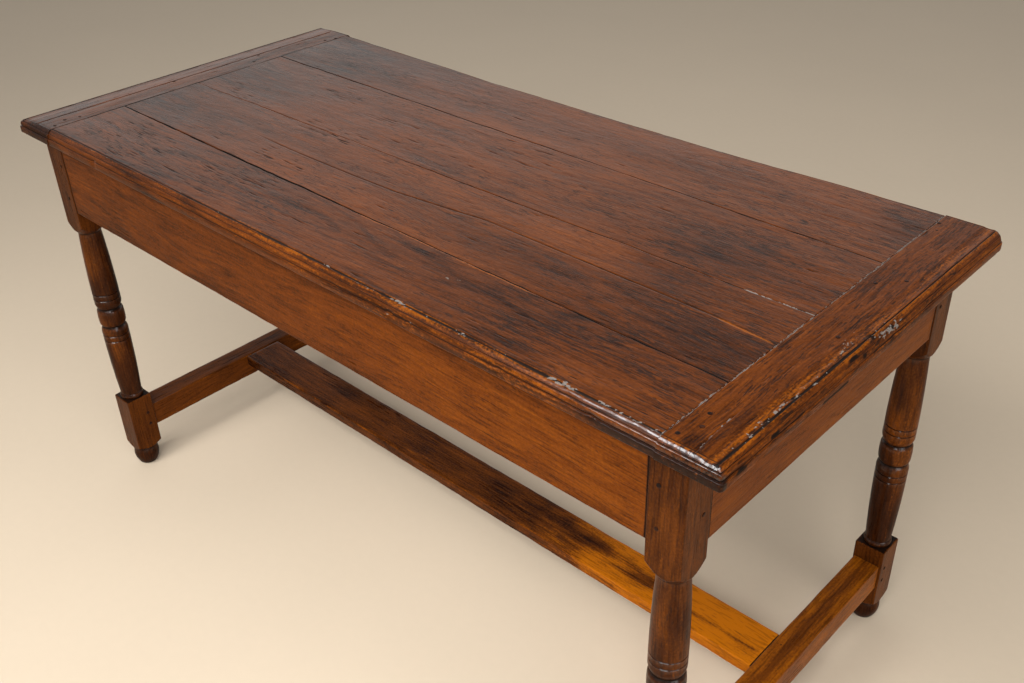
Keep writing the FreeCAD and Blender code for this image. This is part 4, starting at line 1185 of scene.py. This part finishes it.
class Shader:
    """Node tree of a material or of the surroundings."""

    def __init__(self, tree):
        self.tree = tree
        self.tree.nodes.clear()

    def node(self, kind, settings, inputs, output=0):
        """Adds a node: its settings first, then the values or links of its sockets."""
        made = self.tree.nodes.new("ShaderNode" + kind)
        for name, value in settings.items():
            if name == "stops":
                self.set_stops(made.color_ramp.elements, value)
            else:
                setattr(made, name, value)
        for key, value in inputs.items():
            if isinstance(value, Value):
                self.tree.links.new(value.socket, made.inputs[key])
            else:
                made.inputs[key].default_value = value
        return Value(self, made.outputs[output]) if made.outputs else None

    def set_stops(self, elements, stops):
        while len(elements) < len(stops):
            elements.new(1.0)
        for element, (place, colour) in zip(elements, stops):
            element.position = place
            element.color = (*colour, 1.0)

    def vector(self, operation, first, second):
        return self.node("VectorMath", {"operation": operation}, {0: first, 1: second})

    def noise(self, place, stretch, detail, output="Fac"):
        """Noise from 0 to 1 with its own count of features per metre along and across the grain."""
        spread = self.vector("MULTIPLY", place, stretch)
        return self.node("TexNoise", {"noise_dimensions": "3D"},
                         {"Vector": spread, "Scale": 1.0, "Detail": detail, "Roughness": 0.55}, output)

    def step(self, value, start, end):
        """0 to 1 between two values, eased."""
        return self.node("MapRange", {"interpolation_type": "SMOOTHSTEP"},
                         {"Value": value, "From Min": start, "From Max": end, "To Min": 0.0, "To Max": 1.0})

    def larger(self, first, second):
        return self.node("Math", {"operation": "MAXIMUM"}, {0: first, 1: second})

    def attribute(self, name):
        return self.node("Attribute", {"attribute_name": name}, {}, "Fac")

    def mix(self, factor, first, second):
        return self.node("Mix", {"data_type": "RGBA", "blend_type": "MIX", "clamp_factor": True},
                         {0: factor, 6: first, 7: second}, 2)


# Wood

GRAIN_TURNS = {"X": (0.0, 0.0, 0.0), "Y": (0.0, 0.0, -math.pi / 2), "Z": (0.0, math.pi / 2, 0.0)}

# Finish of each kind of piece: liveliness of the grain, dark ticks, tone, shine and growth rings.
FINISHES = {
    "front_plank": {"streaky": 0.62, "figure": 0.10},
    "plank": {"streaky": 0.62, "figure": 0.04},
    "left_end_board": {"streaky": 0.8, "tone": -0.16, "shine": 0.09},
    "right_end_board": {"streaky": 0.8, "tone": 0.02, "shine": 0.05},
    "apron": {"streaky": 0.85, "dashed": 0.6, "shine": 0.04},
    "end_rail": {"streaky": 0.8, "dashed": 0.6, "tone": 0.08, "shine": 0.04},
    "leg": {"streaky": 0.8, "dashed": 0.6, "tone": -0.03, "shine": 0.03, "figure": 0.0},
    "end_stretcher": {"streaky": 0.55, "dashed": 0.25, "shine": 0.05},
    "centre_stretcher": {"streaky": 0.9, "dashed": 0.5, "shine": 0.05},
    "peg": {"streaky": 0.6, "tone": -0.2},
}
PEG_GLOSS = 0.5


def opaque(colour):
    return (*colour, 1.0)


def blank_material(name):
    material = bpy.data.materials.new(name)
    material.use_nodes = True
    return material, Shader(material.node_tree)


def tones_of(family):
    """Dark, middle and light colour of a family of pieces."""
    colours = bpy.context.scene.table_colours
    return tuple(tuple(getattr(colours, family + "_" + depth)) for depth in ("dark", "mid", "light"))


def waxed_wood(node, family, finish, grain, seed, gloss):
    """Old waxed wood of a node, with its grain along one axis, in the colours of a family and a finish."""
    return grained(node + "_wood", tones_of(family), grain, seed, gloss, **FINISHES[finish])


def grained(name, tones, grain, seed, gloss, streaky, dashed=1.0, tone=0.0, shine=0.10, figure=0.05):
    """Wood with figure, streaks, fine ticks and pores, and with the dirt, painted light and shade, wear and
    dust marked on a piece.
    """
    colours = bpy.context.scene.table_colours
    material, sh = blank_material(name)
    dark, mid, light = tones
    place = sh.node("TexCoord", {}, {}, "Object")
    shift = (seed * 1.37, seed * 0.71, seed * 0.53)
    turned = sh.node("Mapping", {}, {"Vector": place, "Rotation": GRAIN_TURNS[grain], "Location": shift})
    wander = sh.vector("SUBTRACT", sh.noise(turned, (2.2, 9.0, 9.0), 2.0, "Color"), (0.5, 0.5, 0.5))
    fibre_place = sh.vector("ADD", turned, sh.vector("MULTIPLY", wander, (0.0, 0.04, 0.04)))
    broad = sh.noise(fibre_place, (0.9, 15.0, 15.0), 2.0)
    streak = sh.noise(fibre_place, (3.5, 110.0, 110.0), 1.0)
    fibre = sh.noise(fibre_place, (18.0, 310.0, 310.0), 1.0)
    rings = sh.node("Math", {"operation": "SINE"}, {0: sh.noise(fibre_place, (0.6, 6.0, 6.0), 1.0) * 170.0})
    ring_line = sh.step(rings, 0.35, 1.0)
    cloud = sh.noise(turned, (7.0, 15.0, 15.0), 3.0)
    checked = sh.attribute("checked")
    crowd = 0.30 * (sh.noise(fibre_place, (13.0, 36.0, 36.0), 3.0) - 0.5) + 0.12 * checked
    small_tick = sh.step(sh.noise(fibre_place, (64.0, 430.0, 430.0), 1.0) + crowd, 0.67, 0.72)
    large_tick = sh.step(sh.noise(fibre_place, (36.0, 290.0, 290.0), 1.0) + crowd, 0.75, 0.79)
    tick = sh.larger(0.7 * small_tick, large_tick)
    pore = sh.step(sh.noise(fibre_place, (24.0, 340.0, 340.0), 0.0), 0.60, 0.66)
    grit = sh.noise(turned, (250.0, 330.0, 330.0), 2.0)
    crumb = sh.noise(turned, (150.0, 210.0, 210.0), 2.0)
    soil = sh.attribute("soil")
    wear = sh.attribute("wear")
    dust = sh.attribute("dust")
    shade = sh.attribute("tone")
    polish = sh.attribute("polish")
    grain_depth = 0.45 + 0.40 * checked
    lively = 0.25 * (streak - 0.5) + grain_depth * (fibre - 0.5) + 0.40 * (cloud - 0.5)
    lively = lively + 0.5 * (grit - 0.5) - 0.7 * crowd
    level = (0.54 + tone) + 0.24 * (broad - 0.5) + streaky * lively - figure * ring_line + shade
    base = sh.node("ValToRGB", {"stops": ((0.18, dark), (0.5, mid), (0.85, light))}, {"Fac": level})
    base = sh.mix((0.80 * dashed) * tick, base, opaque([1.3 * part for part in colours.soil]))
    base = sh.mix(0.30 * pore, base, opaque([0.5 * part for part in dark]))
    rubbed = sh.step(wear + 0.6 * (streak - 0.5) + 1.1 * (fibre - 0.5) + 1.4 * (grit - 0.5), 0.30, 1.05)
    base = sh.mix(0.8 * rubbed, base, opaque(colours.worn))
    # The soil mark is real dirt in cracks and grooves, and painted shadow under the top and under the lip.
    dirt_and_shade_cover = sh.step(soil + 0.35 * (fibre - 0.5) + 0.35 * (cloud - 0.5), 0.18, 0.75)
    base = sh.mix(0.96 * dirt_and_shade_cover, base, opaque(colours.soil))
    dusty = sh.step(dust + 1.9 * (crumb - 0.5), 0.52, 0.64)
    base = sh.mix(0.85 * dusty, base, opaque(colours.dust))
    gleam = 0.35 + 0.65 * sh.step(sh.noise(turned, (90.0, 240.0, 240.0), 2.0), 0.42, 0.54)
    rough = gloss + 0.14 * (cloud - 0.5) + 0.10 * (fibre - 0.5) + 0.10 * tick + 0.25 * dirt_and_shade_cover + 0.35 * dusty
    knocks = sh.noise(turned, (45.0, 95.0, 95.0), 2.0)
    height = 2.0 * knocks + 0.30 * fibre + 0.20 * streak - 0.40 * tick - 0.25 * pore
    bump = sh.node("Bump", {}, {"Strength": 0.25, "Distance": 0.0009, "Height": height})
    coat = polish * gleam * (1.0 - 0.8 * dusty)
    surface = sh.node("BsdfPrincipled", {}, {
        "Base Color": base, "Roughness": rough, "Normal": bump, "Coat Weight": coat,
        "Coat Roughness": 0.14, "Specular IOR Level": shine, "IOR": 1.47})
    sh.node("OutputMaterial", {}, {"Surface": surface})
    return material


def floor_paint(colour):
    """Plain pale floor, with a faint unevenness."""
    material, sh = blank_material("pale_floor")
    place = sh.node("TexCoord", {}, {}, "Object")
    patch = sh.noise(place, (1.6, 1.6, 1.6), 3.0)
    grain = sh.noise(place, (55.0, 55.0, 55.0), 2.0)
    level = 0.5 + 0.5 * (patch - 0.5) + 0.25 * (grain - 0.5)
    base = sh.mix(level, opaque([0.93 * part for part in colour]), opaque([1.07 * part for part in colour]))
    surface = sh.node("BsdfPrincipled", {}, {"Base Color": base, "Roughness": 0.75})
    sh.node("OutputMaterial", {}, {"Surface": surface})
    return material


# Operators

class TABLE_OT_lay_planks(bpy.types.Operator):
    """Lays the four worn planks of the top"""

    bl_idname = "farmhouse_table.lay_planks"
    bl_label = "Lay Planks"

    def execute(self, context):
        colours = context.scene.table_colours
        for index, name in enumerate(PLANKS):
            finish = "front_plank" if index == 0 else "plank"
            wood = waxed_wood(name, "top", finish, "X", 3.0 + 2.3 * index, colours.gloss)
            plank(index, context.scene.table_top, wood)
        return {"FINISHED"}


class TABLE_OT_fit_end_boards(bpy.types.Operator):
    """Fits the moulded end boards across the planks"""

    bl_idname = "farmhouse_table.fit_end_boards"
    bl_label = "Fit End Boards"

    def execute(self, context):
        colours = context.scene.table_colours
        for count, end in enumerate(ENDS):
            name = "end_board_" + end
            wood = waxed_wood(name, "top", end + "_end_board", "Y", 17.0 + 3.1 * count, colours.gloss)
            end_board(end, context.scene.table_top, wood)
        return {"FINISHED"}


class TABLE_OT_hang_aprons(bpy.types.Operator):
    """Hangs the aprons along the sides and the rails across the ends"""

    bl_idname = "farmhouse_table.hang_aprons"
    bl_label = "Hang Aprons"

    def execute(self, context):
        colours = context.scene.table_colours
        for count, side in enumerate(SIDES):
            wood = waxed_wood("apron_" + side, "frame", "apron", "X", 31.0 + 2.9 * count, colours.gloss)
            apron(side, wood)
        for count, end in enumerate(ENDS):
            wood = waxed_wood("end_rail_" + end, "frame", "end_rail", "Y", 41.0 + 2.7 * count, colours.gloss)
            end_rail(end, wood)
        return {"FINISHED"}


class TABLE_OT_turn_legs(bpy.types.Operator):
    """Turns the four legs from square blanks"""

    bl_idname = "farmhouse_table.turn_legs"
    bl_label = "Turn Legs"

    def execute(self, context):
        colours = context.scene.table_colours
        corners = [(side, end) for side in SIDES for end in ENDS]
        for count, (side, end) in enumerate(corners):
            name = "leg_" + side + "_" + end
            wood = waxed_wood(name, "leg", "leg", "Z", 53.0 + 3.7 * count, colours.leg_gloss)
            leg(side, end, context.scene.table_legs, wood, 500 + 20 * count)
        return {"FINISHED"}


class TABLE_OT_join_stretchers(bpy.types.Operator):
    """Joins the end stretchers and the centre stretcher"""

    bl_idname = "farmhouse_table.join_stretchers"
    bl_label = "Join Stretchers"

    def execute(self, context):
        colours = context.scene.table_colours
        for count, end in enumerate(ENDS):
            name = "end_stretcher_" + end
            wood = waxed_wood(name, "stretcher", "end_stretcher", "Y", 71.0 + 3.3 * count, colours.leg_gloss)
            end_stretcher(end, wood)
        wood = waxed_wood("centre_stretcher", "stretcher", "centre_stretcher", "X", 83.0, colours.leg_gloss)
        centre_stretcher(wood)
        return {"FINISHED"}


class TABLE_OT_drive_pegs(bpy.types.Operator):
    """Drives the riven pegs into the joints"""

    bl_idname = "farmhouse_table.drive_pegs"
    bl_label = "Drive Pegs"

    def execute(self, context):
        for count, (node, grain) in enumerate(PEG_GRAINS.items()):
            drop = 0.0003 if grain == "Z" else 0.0002
            wood = waxed_wood(node, "leg", "peg", grain, 91.0 + 1.9 * count, PEG_GLOSS)
            riven_pegs(node, drop, wood, 600 + 10 * count)
        return {"FINISHED"}


class TABLE_OT_set_stage(bpy.types.Operator):
    """Sets the floor, the soft lights and the camera"""

    bl_idname = "farmhouse_table.set_stage"
    bl_label = "Set Stage"

    def execute(self, context):
        stage = context.scene.table_stage
        self.lay_floor(stage)
        for name, (place, goal, size) in LIGHTS.items():
            self.hang_light(name + "_light", place, goal, size, getattr(stage, name + "_power"))
        self.light_surroundings(stage)
        self.set_camera(stage)
        context.scene.view_settings.view_transform = "Standard"
        return {"FINISHED"}

    def lay_floor(self, stage):
        plane = bmesh.new()
        bmesh.ops.create_grid(plane, x_segments=8, y_segments=8, size=FLOOR_REACH)
        mesh = bpy.data.meshes.new("floor")
        plane.to_mesh(mesh)
        plane.free()
        mesh.materials.append(floor_paint(tuple(stage.floor_colour)))
        floor = bpy.data.objects.new("floor", mesh)
        bpy.context.scene.collection.objects.link(floor)

    def hang_light(self, name, place, goal, size, power):
        lamp = bpy.data.lights.new(name, "AREA")
        lamp.shape = "SQUARE"
        lamp.size = size
        lamp.energy = power
        light = bpy.data.objects.new(name, lamp)
        light.location = place
        light.rotation_mode = "QUATERNION"
        light.rotation_quaternion = (Vector(goal) - Vector(place)).to_track_quat("-Z", "Y")
        bpy.context.scene.collection.objects.link(light)

    def light_surroundings(self, stage):
        world = bpy.data.worlds.new("surroundings")
        world.use_nodes = True
        sh = Shader(world.node_tree)
        direction = sh.node("TexCoord", {}, {}, "Generated")
        height = sh.node("SeparateXYZ", {}, {"Vector": direction}, "Z")
        behind = sh.node("VectorMath", {"operation": "DOT_PRODUCT"}, {0: direction, 1: BACK_WALL}, "Value")
        wall = sh.step(height, math.sin(stage.wall_end), math.sin(stage.wall_start))
        wall = wall * (stage.side_walls + (1.0 - stage.side_walls) * sh.step(behind, 0.25, 0.75))
        ceiling = [stage.ceiling * part for part in stage.sky_colour]
        glow = sh.mix(wall, opaque(ceiling), opaque(stage.sky_colour))
        light = sh.node("Background", {}, {"Color": glow, "Strength": stage.sky_strength})
        sh.node("OutputWorld", {}, {"Surface": light})
        bpy.context.scene.world = world

    def set_camera(self, stage):
        yaw, pitch, roll = stage.camera_yaw, stage.camera_pitch, stage.camera_roll
        ahead = Vector((-math.sin(yaw) * math.cos(pitch), math.cos(yaw) * math.cos(pitch), math.sin(pitch)))
        level = Vector((math.cos(yaw), math.sin(yaw), 0.0))
        right = level * math.cos(roll) + level.cross(ahead) * math.sin(roll)
        up = right.cross(ahead)
        lens = bpy.data.cameras.new("camera")
        lens.sensor_width = 36.0
        lens.lens = stage.focal_length
        lens.dof.use_dof = False
        camera = bpy.data.objects.new("camera", lens)
        axes = Matrix((right, up, -ahead)).transposed().to_4x4()
        camera.matrix_world = Matrix.Translation(Vector(stage.camera_place)) @ axes
        bpy.context.scene.collection.objects.link(camera)
        bpy.context.scene.camera = camera


STEPS = (TABLE_OT_lay_planks, TABLE_OT_fit_end_boards, TABLE_OT_hang_aprons, TABLE_OT_turn_legs,
         TABLE_OT_join_stretchers, TABLE_OT_drive_pegs, TABLE_OT_set_stage)
GROUPS = {
    "table_top": TopShape,
    "table_legs": LegShape,
    "table_colours": WoodColours,
    "table_stage": StageSetup,
}


class TABLE_PT_farmhouse(bpy.types.Panel):
    """Sizes, colours and steps of the farmhouse table"""

    bl_idname = "TABLE_PT_farmhouse"
    bl_label = "Farmhouse Table"
    bl_space_type = "VIEW_3D"
    bl_region_type = "UI"
    bl_category = "Farmhouse Table"

    def draw(self, context):
        for step in STEPS:
            self.layout.operator(step.bl_idname)
        for holder, group in GROUPS.items():
            box = self.layout.box()
            for name in group.__annotations__:
                box.prop(getattr(context.scene, holder), name)


CLASSES = (*GROUPS.values(), *STEPS, TABLE_PT_farmhouse)


def register():
    for item in CLASSES:
        bpy.utils.register_class(item)
    for holder, group in GROUPS.items():
        setattr(bpy.types.Scene, holder, bpy.props.PointerProperty(type=group))


def unregister():
    for holder in GROUPS:
        delattr(bpy.types.Scene, holder)
    for item in reversed(CLASSES):
        bpy.utils.unregister_class(item)


def main():
    register()
    bpy.ops.farmhouse_table.lay_planks()
    bpy.ops.farmhouse_table.fit_end_boards()
    bpy.ops.farmhouse_table.hang_aprons()
    bpy.ops.farmhouse_table.turn_legs()
    bpy.ops.farmhouse_table.join_stretchers()
    bpy.ops.farmhouse_table.drive_pegs()
    bpy.ops.farmhouse_table.set_stage()


if __name__ == "__main__":
    main()
